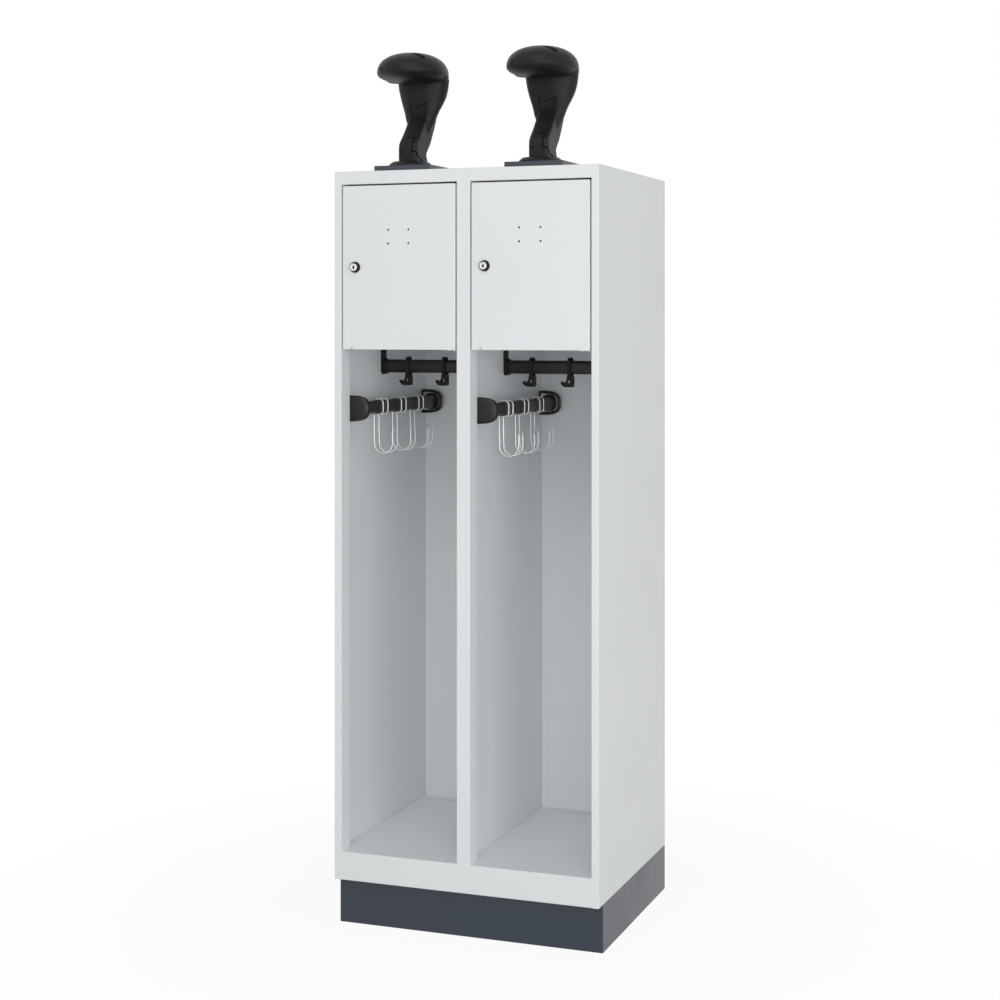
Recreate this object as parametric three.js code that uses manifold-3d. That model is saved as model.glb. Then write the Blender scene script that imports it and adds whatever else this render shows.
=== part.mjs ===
import * as THREE from "three";
import { mergeVertices } from "three/addons/utils/BufferGeometryUtils.js";
import Module from "manifold-3d";

// Two-compartment gear locker of folded sheet steel. Millimetres, +Z up, front at -Y.

const wasm = await Module();
wasm.setup();

// Clearances and common values
const sheet = 1;
const seat = 0.3;
const overrun = 3;
const halfShare = 0.5;
const quarterShare = 0.25;
const roundSegments = 16;
const smallSegments = 10;
const circleDegrees = 360;
const gridSteps = 4096;
const mergeTolerance = 1e-4;

// Body of the locker
const bodyWidth = 600;
const bodyDepth = 500;
const bodyTop = 1630;
const plinthHeight = 100;
const plinthFrontSetback = 28;
const plinthFlange = 30;
const stileFace = 16;
const postFace = 30;
const stileReturn = 40;
const stileLip = 8;
const rearFlange = 20;
const topRailHeight = 28;
const topRailReturn = 25;
const bottomRailHeight = 61;
const bottomRailReturn = 35;
const roofFlange = 18;
const floorFlange = 20;
const sideFlangeSetback = 12;
const partitionFlange = 17;

// Ventilation slots in the floor
const slotCount = 14;
const slotPitch = 17.6;
const slotLength = 13;
const slotWidth = 5;
const slotSetback = 25;

// Shelf that closes the lockable box from below
const shelfDeckRise = 16;
const shelfApronSetback = 24;
const shelfFlange = 18;
const shelfTongueWidth = 22;
const shelfTongueDrop = 2.3;
const shelfTongueSetback = 1;

// Doors
const doorHeight = 352.5;
const doorGap = 3.5;
const doorDepth = 18;
const doorLip = 12;
const labelHoleRadius = 2.2;
const labelPitchX = 47;
const labelPitchZ = 29.3;
const labelAboveLock = 64.7;

// Door hinge pins with their black pads
const pinRadius = 2.5;
const pinInset = 10;
const pinBehindFace = 7;
const pinRun = 0.15;
const pinReach = 12;
const pinHeadRadius = 4;
const pinHeadHeight = 2;
const padLength = 25;
const padDepth = 13;
const padSetback = 0.6;
const padPastDoor = 2;
const lowerPadHeight = 0.7;

// Cylinder locks
const lockInset = 30;
const lockDrop = 175.3;
const collarRadius = 12;
const collarFrontRadius = 10.2;
const collarProud = 8;
const barrelRadius = 9;
const barrelLength = 20.3;
const plugRadius = 7.8;
const plugProud = 1.4;
const plugRun = 0.2;
const camThickness = 2;
const camLength = 38;
const camWidth = 12;
const camScrewRadius = 3;
const camHeadRadius = 5;
const camHeadHeight = 2.2;
const nutRadius = 12.5;
const nutThickness = 4;
const nutSides = 6;
const camSlotDepth = 8;
const camSlotBelow = 24;
const camSlotAbove = 8.5;

// Coat rail along each compartment, with wall brackets
const railHeight = 30;
const railThickness = 15;
const railWall = 1.2;
const railDrop = 57;
const strapThickness = 3.5;
const strapWidth = 25;
const strapBelowAxis = 19.4;
const cupWall = 2.6;
const cupDepth = 8;

// Sliding hooks on the coat rail
const hooksPerCompartment = 3;
const slideHookFirstInset = 64.5;
const slideHookLastInset = 55.4;
const slideRingWidth = 8.7;
const slideRingSide = 3;
const slideRingTop = 7;
const slideRun = 0.4;
const slideBodyThickness = 14;
const slideReach = 28.2;
const slideRight = 7.2;
const slideDrop = 28.7;
const slideHoleRadius = 4.2;
const slideHoleInset = 12.2;
const slideHoleRise = 13.2;
const slideHookShares = [
  [0, 0.93], [0, 0.07], [0.07, 0], [0.645, 0], [0.787, 0.052], [0.911, 0.181], [0.986, 0.32],
  [1, 0.429], [0.947, 0.463], [0.84, 0.456], [0.752, 0.415], [0.681, 0.401], [0.592, 0.442],
  [0.504, 0.564], [0.457, 0.686], [0.457, 0.93],
];

// Side hook bar on the left wall of each compartment
const barHeight = 30.5;
const barThickness = 19;
const barFromWall = 25.5;
const barAxisHeight = 1116.3;
const barFrontInset = 44;
const barRearInset = 22;
const barCorner = 7;
const barCornerSteps = 2;
const flareLength = 36;
const flareRings = 6;
const flareWallReach = 8;
const flareRoomReach = 48;
const flareHeight = 39;
const flareCurveShare = 2;
const capHeight = 57;
const capReach = 57;
const capDepth = 14;
const capRim = 6.5;
const capFloor = 2.5;
const capCornerShare = 0.62;
const plateThickness = 2;
const plateFlangeLength = 20;
const plateFlangeHeight = 26;

// Wire double hooks on the bar
const wireRadius = 1.75;
const wireSides = 6;
const wirePairPitch = 26;
const wireHookFirstInset = 162;
const wireHookLastInset = 137;
const wireRun = 0.25;
const wireLoopCorner = 9;
const wireLoopStart = 4.2;
const wireHookOpening = 46;
const wireHookLow = 1012;
const wireTipHigh = 1067.2;
const wireArcSteps = 3;
const wireBendSteps = 6;

// Helmet holders on the roof
const holderInset = 78;
const padPlateSize = 130;
const padPlateThickness = 11.7;
const padPlateInset = 85.5;
const discRadius = 51;
const discTopRadius = 43;
const discEdge = 2.7;
const discHeight = 9.4;
const discCentreOffset = 4;
const stemHeight = 173.7;
const stemReach = 106;
const stemHalfWidth = 58;
const stemRingPoints = 20;
// Each row: height, half width, front, rear, squareness
const stemSectionShares = [
  [0, 0.345, -0.321, 0.38, 5], [0.105, 0.345, -0.321, 0.264, 5], [0.16, 0.345, -0.245, 0.38, 5],
  [0.22, 0.345, -0.245, 0.434, 5], [0.277, 0.345, -0.17, 0.519, 5], [0.335, 0.345, -0.019, 0.575, 5],
  [0.392, 0.345, 0.066, 0.632, 5], [0.435, 0.35, 0.123, 0.69, 4.4], [0.507, 0.483, 0.132, 0.745, 3.4],
  [0.565, 0.621, 0.132, 0.79, 2.8], [0.622, 0.707, 0.113, 0.82, 2.5], [0.737, 0.81, 0.075, 0.887, 2.3],
  [0.853, 0.931, 0.038, 0.943, 2.2], [1, 1, 0, 1, 2.1],
];
const tongueHalfWidth = 9.5;
const tongueTop = 52;
const tongueBack = 8;
const tongueCut = 60;
// Side seam of the foot: distance behind the axis, height
const seamShares = [
  [-1, 0.333], [-0.477, 0.333], [-0.4, 0.217], [-0.283, 0.133], [-0.133, 0.08], [0.083, 0.042],
  [0.133, -0.1], [-1, -0.1],
];
const domeHalfWidth = 75;
const domeFront = 82;
const domeRear = 112;
const domeFrontPower = 2;
const domeRearPower = 1.74;
const domeSidePower = 2.3;
const domeHeight = 65.8;
const domeWidestShare = 0.26;
const domeTiltShare = 0.15;
const domeRingPoints = 24;
const domeLowerShares = [0.5, 0.76, 0.92, 1];
const domeUpperShares = [0.97, 0.88, 0.72, 0.5, 0.2];
const ventHoleRadius = 5;
const ventHoleDepth = 12;
const ventHoleX = -42;
const ventHoleRise = 27;
const topSlotLength = 43;
const topSlotWidth = 7;
const topSlotDepth = 8;
const topSlotX = 27;
const topSlotY = -31;
const topSlotTurnDegrees = -23;

// Colours and surfaces
const paint = { color: 0xdcdee0, roughness: 0.5, metalness: 0 };
const darkPaint = { color: 0x434951, roughness: 0.55, metalness: 0 };
const blackPlastic = { color: 0x1d1d1e, roughness: 0.45, metalness: 0 };
const brightMetal = { color: 0xd5d7d9, roughness: 0.25, metalness: 1 };
const zincSteel = { color: 0xb9bcbe, roughness: 0.4, metalness: 0.9 };

// Derived levels and planes
const half = (value) => value * halfShare;
const wallX = half(bodyWidth) - sheet;
const stileInnerX = half(bodyWidth) - stileFace;
const postEdgeX = half(postFace);
const frontY = -half(bodyDepth);
const rearY = half(bodyDepth);
const stileRearY = frontY + stileReturn;
const roofUnder = bodyTop - sheet;
const topRailLow = bodyTop - topRailHeight;
const floorTop = plinthHeight + bottomRailHeight;
const backFrontY = rearY - sheet - seat - sheet;
const fittingRearY = backFrontY - seat;
const openingCentreX = half(stileInnerX + postEdgeX);
const doorWidth = stileInnerX - postEdgeX - doorGap - doorGap;
const doorTop = topRailLow - doorGap;
const doorLow = doorTop - doorHeight;
const doorBackY = frontY + doorDepth;
const lockZ = doorTop - lockDrop;
const pinX = half(doorWidth) - pinInset;
const pinY = frontY + pinBehindFace;
const deckTop = doorLow + shelfDeckRise;
const tongueLevel = doorLow - shelfTongueDrop;
const railAxisHeight = deckTop - railDrop;
const barFrontY = frontY + barFrontInset;
const barRearY = rearY - barRearInset;
const camFrontY = frontY + barrelLength + seat;
const compartmentWidth = wallX - half(sheet);
const wallOrigins = [-wallX, half(sheet)];
const sides = ["left", "right"];
const forwardReach = collarProud + plugProud;
const holderY = frontY + holderInset;
const padPlateY = frontY + padPlateInset;

// Even places of the hooks between the first and the last of a row
function evenPlaces(first, last) {
  const steps = hooksPerCompartment - 1;
  return Array.from({ length: hooksPerCompartment }, (_, i) => first + ((last - first) * i) / steps);
}
const slideHookPlaces = evenPlaces(slideHookFirstInset, compartmentWidth - slideHookLastInset);
const wireHookPlaces = evenPlaces(frontY + wireHookFirstInset, rearY - wireHookLastInset);

// Shapes as solids: every shape becomes a closed mesh with shared vertices on a fine grid
function solidOf(geometry) {
  const bare = new THREE.BufferGeometry();
  const snapped = geometry.getAttribute("position").array.map((v) => Math.round(v * gridSteps) / gridSteps);
  bare.setAttribute("position", new THREE.BufferAttribute(new Float32Array(snapped), 3));
  if (geometry.index) bare.setIndex(geometry.index.clone());
  const merged = mergeVertices(bare, mergeTolerance);
  const kept = [];
  const index = merged.index.array;
  for (let i = 0; i < index.length; i += 3) {
    const [a, b, c] = [index[i], index[i + 1], index[i + 2]];
    if (a !== b && b !== c && c !== a) kept.push(a, b, c);
  }
  const vertProperties = new Float32Array(merged.getAttribute("position").array);
  const triVerts = new Uint32Array(kept);
  return new wasm.Manifold(new wasm.Mesh({ numProp: 3, vertProperties, triVerts }));
}

function geometryOf(solid) {
  const mesh = solid.getMesh();
  const geometry = new THREE.BufferGeometry();
  geometry.setAttribute("position", new THREE.BufferAttribute(mesh.vertProperties, 3));
  geometry.setIndex(new THREE.BufferAttribute(mesh.triVerts, 1));
  geometry.computeVertexNormals();
  return geometry;
}

function join(solids) {
  return solids.reduce((all, next) => all.add(next));
}

function cut(solid, tools) {
  return tools.reduce((left, tool) => left.subtract(tool), solid);
}

function box(x0, x1, y0, y1, z0, z1) {
  const geometry = new THREE.BoxGeometry(x1 - x0, y1 - y0, z1 - z0);
  return solidOf(geometry.translate(half(x0 + x1), half(y0 + y1), half(z0 + z1)));
}

// Right-handed plane of an extrusion along each axis: first, second and run direction
const extrusionFrames = {
  x: [[0, 1, 0], [0, 0, 1], [1, 0, 0]],
  y: [[0, 0, 1], [1, 0, 0], [0, 1, 0]],
  z: [[1, 0, 0], [0, 1, 0], [0, 0, 1]],
};

function prism(axis, outline, from, to) {
  const shape = new THREE.Shape(outline.map(([a, b]) => new THREE.Vector2(a, b)));
  const geometry = new THREE.ExtrudeGeometry(shape, { depth: to - from, bevelEnabled: false });
  const [u, v, w] = extrusionFrames[axis].map((row) => new THREE.Vector3(...row));
  geometry.translate(0, 0, from);
  geometry.applyMatrix4(new THREE.Matrix4().makeBasis(u, v, w));
  return solidOf(geometry);
}

function cylinder(axis, radius, a, b, from, to, segments = roundSegments) {
  const outline = [];
  for (let i = 0; i < segments; i += 1) {
    const angle = (i * Math.PI * 2) / segments;
    outline.push([a + radius * Math.cos(angle), b + radius * Math.sin(angle)]);
  }
  return prism(axis, outline, from, to);
}

// Solid of revolution about +Y or +Z from a profile of radius and position along the axis
function turned(axis, profile, segments = roundSegments) {
  const points = profile.map(([radius, place]) => new THREE.Vector2(radius, place));
  points.push(points[0].clone());
  const geometry = new THREE.LatheGeometry(points, segments);
  if (axis === "z") geometry.rotateX(half(Math.PI));
  const solid = solidOf(geometry);
  if (solid.volume() > 0) return solid;
  points.reverse();
  const turnedBack = new THREE.LatheGeometry(points, segments);
  if (axis === "z") turnedBack.rotateX(half(Math.PI));
  return solidOf(turnedBack);
}

// Closed skin over rings of equal point count, capped with a fan at both ends
function loft(rings) {
  const count = rings[0].length;
  const positions = rings.flat(2);
  const index = [];
  const centre = (ring) => [0, 1, 2].map((k) => ring.reduce((s, p) => s + p[k], 0) / count);
  for (let r = 0; r + 1 < rings.length; r += 1) {
    for (let i = 0; i < count; i += 1) {
      const j = (i + 1) % count;
      const [a, b, c, d] = [r * count + i, r * count + j, (r + 1) * count + j, (r + 1) * count + i];
      index.push(a, b, c, a, c, d);
    }
  }
  const first = positions.length / 3;
  positions.push(...centre(rings[0]), ...centre(rings[rings.length - 1]));
  const top = (rings.length - 1) * count;
  for (let i = 0; i < count; i += 1) {
    const j = (i + 1) % count;
    index.push(first, j, i, first + 1, top + i, top + j);
  }
  const geometry = new THREE.BufferGeometry();
  geometry.setAttribute("position", new THREE.Float32BufferAttribute(positions, 3));
  geometry.setIndex(index);
  return solidOf(geometry);
}

// Outline of bent sheet: the given surface line with the thickness laid on its left side
function bentSheet(line, thickness) {
  const offset = line.map((point, i) => {
    const before = line[Math.max(i - 1, 0)];
    const after = line[Math.min(i + 1, line.length - 1)];
    const normals = [[before, point], [point, after]]
      .filter(([p, q]) => p !== q)
      .map(([p, q]) => {
        const length = Math.hypot(q[0] - p[0], q[1] - p[1]);
        return [-(q[1] - p[1]) / length, (q[0] - p[0]) / length];
      });
    const sum = normals.reduce((s, n) => [s[0] + n[0], s[1] + n[1]], [0, 0]);
    const scale = (thickness * normals.length) / (sum[0] * sum[0] + sum[1] * sum[1]);
    return [point[0] + sum[0] * scale, point[1] + sum[1] * scale];
  });
  return [...line, ...offset.reverse()];
}

function stadium(width, height, centreA, centreB) {
  const radius = half(width);
  const points = [];
  for (const end of [1, -1]) {
    for (let i = 0; i <= half(roundSegments); i += 1) {
      const angle = (i * Math.PI) / half(roundSegments);
      const a = end * radius * Math.cos(angle);
      const b = end * (half(height) - radius + radius * Math.sin(angle));
      points.push([centreA + a, centreB + b]);
    }
  }
  return points;
}

function superellipse(angle, power) {
  const [c, s] = [Math.cos(angle), Math.sin(angle)];
  const bend = (value) => Math.sign(value) * Math.abs(value) ** (2 / power);
  return [bend(c), bend(s)];
}

const root = new THREE.Group();
root.position.y = half(forwardReach);

function piece(parent, name, solid, look) {
  const mesh = new THREE.Mesh(geometryOf(solid), new THREE.MeshStandardMaterial(look));
  mesh.name = name;
  parent.add(mesh);
  return mesh;
}

// Side panels: front stile, its return and the rear flange in one bent sheet each
function sidePanel(side) {
  const line = [
    [-half(bodyWidth) + rearFlange, rearY],
    [-half(bodyWidth), rearY],
    [-half(bodyWidth), frontY],
    [-stileInnerX, frontY],
    [-stileInnerX, stileRearY],
    [-stileInnerX - stileLip, stileRearY],
  ];
  const outline = bentSheet(line, sheet);
  if (side < 0) return prism("z", outline, plinthHeight, roofUnder - seat);
  return prism("z", outline.map(([x, y]) => [-x, y]).reverse(), plinthHeight, roofUnder - seat);
}

// Opening in the return beside a lock, for its turning cam
function camSlot(x) {
  const middle = camFrontY + half(camThickness);
  return box(
    x - overrun, x + overrun,
    middle - half(camSlotDepth), middle + half(camSlotDepth),
    lockZ - camSlotBelow, lockZ + camSlotAbove,
  );
}

piece(root, "left_side_panel", cut(sidePanel(-1), [camSlot(-stileInnerX)]), paint);
piece(root, "right_side_panel", sidePanel(1), paint);

// Roof: top sheet, front rail with its return, side and rear flanges turned down
const railEndX = stileInnerX - seat;
const innerSideX = wallX - seat;
const roofParts = [
  box(-half(bodyWidth), half(bodyWidth), frontY, rearY, roofUnder, bodyTop),
  box(-railEndX, railEndX, frontY, frontY + sheet, topRailLow, roofUnder + half(sheet)),
  box(-railEndX, railEndX, frontY, frontY + topRailReturn, topRailLow, topRailLow + sheet),
  box(
    -half(bodyWidth) + rearFlange + seat, half(bodyWidth) - rearFlange - seat,
    rearY - sheet, rearY, roofUnder - roofFlange, roofUnder + half(sheet),
  ),
];
for (const sign of [-1, 1]) {
  const [outer, inner] = [sign * innerSideX, sign * (innerSideX - sheet)];
  roofParts.push(box(
    Math.min(outer, inner), Math.max(outer, inner),
    stileRearY + sideFlangeSetback, fittingRearY - sideFlangeSetback,
    roofUnder - roofFlange, roofUnder + half(sheet),
  ));
}
const pinHoleRadius = pinRadius + seat;
const roofPinHoles = [-openingCentreX, openingCentreX].map((x) =>
  cylinder("z", pinHoleRadius, x + pinX, pinY, topRailLow - overrun, topRailLow + overrun, smallSegments));
piece(root, "roof_panel", cut(join(roofParts), roofPinHoles), paint);

// Floor: deck, bottom rail with its return, side and rear flanges, ventilation slots
const floorUnder = floorTop - sheet;
const floorParts = [
  box(-railEndX, railEndX, frontY, stileRearY + sheet, floorUnder, floorTop),
  box(-innerSideX, innerSideX, stileRearY + seat, fittingRearY, floorUnder, floorTop),
  box(-railEndX, railEndX, frontY, frontY + sheet, plinthHeight, floorTop),
  box(-railEndX, railEndX, frontY, frontY + bottomRailReturn, plinthHeight, plinthHeight + sheet),
  box(
    -innerSideX, innerSideX, fittingRearY - sheet, fittingRearY,
    floorTop - floorFlange, floorTop,
  ),
];
for (const sign of [-1, 1]) {
  const [outer, inner] = [sign * innerSideX, sign * (innerSideX - sheet)];
  floorParts.push(box(
    Math.min(outer, inner), Math.max(outer, inner),
    stileRearY + seat, fittingRearY, floorTop - floorFlange, floorTop,
  ));
}
const slotTools = [];
const slotY = rearY - slotSetback;
for (const origin of wallOrigins) {
  const firstX = origin + half(compartmentWidth) - half((slotCount - 1) * slotPitch);
  for (let i = 0; i < slotCount; i += 1) {
    const x = firstX + i * slotPitch;
    slotTools.push(box(
      x - half(slotLength), x + half(slotLength), slotY - half(slotWidth), slotY + half(slotWidth),
      floorUnder - overrun, floorTop + overrun,
    ));
  }
}
piece(root, "floor_panel", cut(join(floorParts), slotTools), paint);

// Back panel, held inside the rear flanges
piece(root, "back_panel", box(
  -innerSideX, innerSideX, backFrontY, backFrontY + sheet, plinthHeight, roofUnder - seat,
), paint);

// Centre partition with its rear flange
const partitionFrontY = stileRearY - stileLip;
piece(root, "centre_partition", join([
  box(
    -half(sheet), half(sheet), partitionFrontY, fittingRearY,
    floorTop + seat, roofUnder - seat,
  ),
  box(
    -half(sheet), half(sheet) + partitionFlange, fittingRearY - sheet, fittingRearY,
    floorTop + seat, roofUnder - seat,
  ),
]), paint);

// Centre post in front of the partition: face, two returns and inner lips
const postLine = [
  [half(sheet) + seat, stileRearY],
  [postEdgeX, stileRearY],
  [postEdgeX, frontY],
  [-postEdgeX, frontY],
  [-postEdgeX, stileRearY],
  [-half(sheet) - seat, stileRearY],
];
const postOutline = bentSheet(postLine.slice().reverse(), sheet);
const post = prism("z", postOutline, floorTop + seat, topRailLow - seat);
piece(root, "centre_post", cut(post, [camSlot(postEdgeX)]), paint);

// Plinth: a ring of sheet with a flange turned inwards at the top
const plinthFrontY = frontY + plinthFrontSetback;
const plinthTop = plinthHeight - seat;
const plinthOuter = box(-half(bodyWidth), half(bodyWidth), plinthFrontY, rearY, 0, plinthTop);
const plinthInner = box(
  -half(bodyWidth) + sheet, half(bodyWidth) - sheet, plinthFrontY + sheet, rearY - sheet,
  -overrun, plinthTop - sheet,
);
const plinthHatch = box(
  -half(bodyWidth) + plinthFlange, half(bodyWidth) - plinthFlange,
  plinthFrontY + plinthFlange, rearY - plinthFlange, -overrun, plinthTop + overrun,
);
piece(root, "plinth", cut(plinthOuter, [plinthInner, plinthHatch]), darkPaint);

// Shelf under each lockable box, with the tongue that carries the lower hinge pin
function shelf(index) {
  const origin = wallOrigins[index];
  const openingX = (index === 0 ? -1 : 1) * openingCentreX;
  const [left, right] = [origin + seat, origin + compartmentWidth - seat];
  const stileLeft = openingX - half(doorWidth) - doorGap + seat;
  const stileRight = openingX + half(doorWidth) + doorGap - seat;
  const apronY = frontY + shelfApronSetback;
  const shelfRearY = fittingRearY - sheet - seat;
  const deckLow = deckTop - sheet;
  const tongueLow = tongueLevel - sheet;
  const flangeTop = deckLow + shelfFlange;
  const tongueX = stileRight - shelfTongueWidth;
  const parts = [
    box(stileLeft, stileRight, apronY, stileRearY + sheet, deckLow, deckTop),
    box(left, right, stileRearY + seat, shelfRearY, deckLow, deckTop),
    box(stileLeft, stileRight, apronY, apronY + sheet, doorLow + seat, deckTop),
    box(tongueX, stileRight, apronY, apronY + sheet, tongueLow, deckTop),
    box(tongueX, stileRight, frontY + shelfTongueSetback, apronY + sheet, tongueLow, tongueLevel),
    box(left, right, shelfRearY - sheet, shelfRearY, deckLow, flangeTop),
    box(left, left + sheet, stileRearY + seat, shelfRearY, deckLow, flangeTop),
    box(right - sheet, right, stileRearY + seat, shelfRearY, deckLow, flangeTop),
  ];
  const hole = cylinder(
    "z", pinHoleRadius, openingX + pinX, pinY, tongueLow - overrun, tongueLevel + overrun,
    smallSegments,
  );
  return cut(join(parts), [hole]);
}

// Door pan with inner lips, label holes, lock hole and hinge holes, about the door's centre line
function doorPan() {
  const [left, right] = [-half(doorWidth), half(doorWidth)];
  const parts = [
    box(left, right, frontY, frontY + sheet, doorLow, doorTop),
    box(left, right, frontY, doorBackY, doorTop - sheet, doorTop),
    box(left, right, frontY, doorBackY, doorLow, doorLow + sheet),
    box(left, left + sheet, frontY, doorBackY, doorLow, doorTop),
    box(right - sheet, right, frontY, doorBackY, doorLow, doorTop),
    box(left, left + doorLip, doorBackY - sheet, doorBackY, doorLow, doorTop),
    box(right - doorLip, right, doorBackY - sheet, doorBackY, doorLow, doorTop),
  ];
  const tools = [];
  for (const signX of [-1, 1]) {
    for (const signZ of [-1, 1]) {
      const x = signX * half(labelPitchX);
      const z = lockZ + labelAboveLock + signZ * half(labelPitchZ);
      tools.push(cylinder(
        "y", labelHoleRadius, z, x, frontY - overrun, frontY + sheet + overrun, smallSegments,
      ));
    }
  }
  tools.push(cylinder(
    "y", barrelRadius + seat, lockZ, left + lockInset, frontY - overrun, frontY + sheet + overrun,
  ));
  const boreRadius = pinRadius + pinRun;
  tools.push(cylinder(
    "z", boreRadius, pinX, pinY, doorTop - sheet - overrun, doorTop + overrun, smallSegments,
  ));
  tools.push(cylinder(
    "z", boreRadius, pinX, pinY, doorLow - overrun, doorLow + sheet + overrun, smallSegments,
  ));
  return cut(join(parts), tools);
}

// Hinge pins: a pad in the gap beside the door, a shank through both sheets and a riveted head
const padRightX = half(doorWidth) + padPastDoor;
function hingePad(low, high) {
  const padFrontY = frontY + shelfTongueSetback + padSetback;
  return box(padRightX - padLength, padRightX, padFrontY, padFrontY + padDepth, low, high);
}
function upperPin() {
  const headLow = topRailLow + sheet + seat;
  return join([
    hingePad(doorTop + seat, topRailLow - seat),
    cylinder("z", pinRadius, pinX, pinY, doorTop - pinReach, headLow + pinHeadHeight, smallSegments),
    cylinder("z", pinHeadRadius, pinX, pinY, headLow, headLow + pinHeadHeight, smallSegments),
  ]);
}
function lowerPin() {
  const headHigh = tongueLevel - sheet - seat;
  const padLow = tongueLevel + seat;
  const pad = hingePad(padLow, padLow + lowerPadHeight);
  const padLimit = box(
    pinX - pinInset, padRightX, frontY, frontY + shelfApronSetback, padLow, padLow + lowerPadHeight,
  );
  return join([
    pad.intersect(padLimit),
    cylinder("z", pinRadius, pinX, pinY, headHigh - half(pinHeadHeight), doorLow + pinReach, smallSegments),
    cylinder("z", pinHeadRadius, pinX, pinY, headHigh - half(pinHeadHeight), headHigh, smallSegments),
  ]);
}

// Lock parts, about the lock's own axis along Y, with the door's front face at zero
function lockHousing() {
  const bore = plugRadius + plugRun;
  return turned("y", [
    [bore, -collarProud],
    [collarFrontRadius, -collarProud],
    [collarRadius, -half(collarProud)],
    [collarRadius, -seat],
    [barrelRadius, -seat],
    [barrelRadius, barrelLength],
    [bore, barrelLength],
  ]);
}
function lockPlug() {
  const camRear = barrelLength + seat + camThickness + seat;
  return turned("y", [
    [0, -forwardReach],
    [plugRadius - seat, -forwardReach],
    [plugRadius, -forwardReach + seat],
    [plugRadius, barrelLength],
    [camScrewRadius, barrelLength],
    [camScrewRadius, camRear],
    [camHeadRadius, camRear],
    [camHeadRadius, camRear + camHeadHeight],
    [0, camRear + camHeadHeight],
  ]);
}
function lockCam() {
  const [near, far] = [barrelLength + seat, barrelLength + seat + camThickness];
  return cut(join([
    cylinder("y", barrelRadius, 0, 0, near, far),
    box(-half(camWidth), half(camWidth), near, far, -camLength, 0),
  ]), [cylinder("y", camScrewRadius + seat, 0, 0, near - overrun, far + overrun, smallSegments)]);
}
function lockNut() {
  const near = sheet + seat;
  return cut(
    cylinder("y", nutRadius, 0, 0, near, near + nutThickness, nutSides),
    [cylinder("y", barrelRadius + seat, 0, 0, near - overrun, near + nutThickness + overrun)],
  );
}

// Coat rail and its end brackets, from the compartment's left wall
const strapFace = seat + strapThickness;
const cupRun = seat;
function railTube() {
  const [from, to] = [strapFace + seat, compartmentWidth - strapFace - seat];
  const outer = prism("x", stadium(railThickness, railHeight, 0, railAxisHeight), from, to);
  const bore = prism(
    "x", stadium(railThickness - railWall - railWall, railHeight - railWall - railWall, 0, railAxisHeight),
    from - overrun, to + overrun,
  );
  return cut(outer, [bore]);
}
function railBracket(atRight) {
  const cupHeight = railHeight + cupRun + cupRun;
  const cupThickness = railThickness + cupRun + cupRun;
  const cupHollow = stadium(cupThickness, cupHeight, 0, railAxisHeight);
  const strapLow = railAxisHeight - strapBelowAxis;
  const strapTop = deckTop - sheet - seat;
  const strapRadius = half(strapWidth);
  const outline = [[strapRadius, strapTop], [-strapRadius, strapTop]];
  for (let i = 0; i <= half(roundSegments); i += 1) {
    const angle = Math.PI + (i * Math.PI) / half(roundSegments);
    const drop = half(strapRadius) * Math.sin(angle);
    outline.push([strapRadius * Math.cos(angle), strapLow + half(strapRadius) + drop]);
  }
  const solid = join([
    prism("x", outline, seat, strapFace),
    cut(
      prism(
        "x", stadium(cupThickness + cupWall + cupWall, cupHeight + cupWall + cupWall, 0, railAxisHeight),
        half(strapFace), strapFace + cupDepth,
      ),
      [prism("x", cupHollow, strapFace, strapFace + cupDepth + overrun)],
    ),
  ]);
  if (!atRight) return solid;
  return solid.mirror([1, 0, 0]).translate([compartmentWidth, 0, 0]);
}

// Sliding hook about its own place on the rail
function slidingHook() {
  const ringHigh = railHeight + slideRingTop + slideRingTop;
  const ringWide = railThickness + slideRun + slideRun + slideRingSide + slideRingSide;
  const [holeWide, holeHigh] = [railThickness + slideRun + slideRun, railHeight + slideRun + slideRun];
  const hole = stadium(holeWide, holeHigh, 0, railAxisHeight);
  const low = railAxisHeight - half(railHeight) - slideDrop;
  const outline = slideHookShares.map(([a, b]) => [low + b * slideDrop, slideRight - a * slideReach]);
  const body = prism("y", outline, -half(slideBodyThickness), half(slideBodyThickness));
  const ring = prism(
    "x", stadium(ringWide, ringHigh, 0, railAxisHeight), -half(slideRingWidth), half(slideRingWidth),
  );
  const bore = prism("x", hole, -slideReach, slideReach);
  const eye = cylinder(
    "y", slideHoleRadius, low + slideHoleRise, slideRight - slideHoleInset,
    -slideBodyThickness, slideBodyThickness, smallSegments,
  );
  return cut(join([ring, body]), [bore, eye]);
}

// Side bar: rounded section that flares at both ends into its brackets
const barMiddleX = barFromWall + half(barThickness);
function barRing(y, flare) {
  const left = barFromWall + (flareWallReach - barFromWall) * flare;
  const right = barFromWall + barThickness + (flareRoomReach - barFromWall - barThickness) * flare;
  const tall = half(barHeight + (flareHeight - barHeight) * flare);
  const ring = [];
  const corners = [[1, 1, 0], [-1, 1, 1], [-1, -1, 2], [1, -1, 3]];
  for (const [signX, signZ, turn] of corners) {
    const cornerX = (signX > 0 ? right : left) - signX * barCorner;
    const cornerZ = barAxisHeight + signZ * (tall - barCorner);
    for (let i = 0; i <= barCornerSteps; i += 1) {
      const angle = half(Math.PI) * (turn + i / barCornerSteps);
      ring.push([cornerX + barCorner * Math.cos(angle), y, cornerZ + barCorner * Math.sin(angle)]);
    }
  }
  return ring.reverse();
}
const plateFrontY = barFrontY + capFloor + seat;
const plateRearY = barRearY - capFloor - seat;
const barStartY = plateFrontY + plateThickness + seat;
const barEndY = plateRearY - plateThickness - seat;
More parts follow.
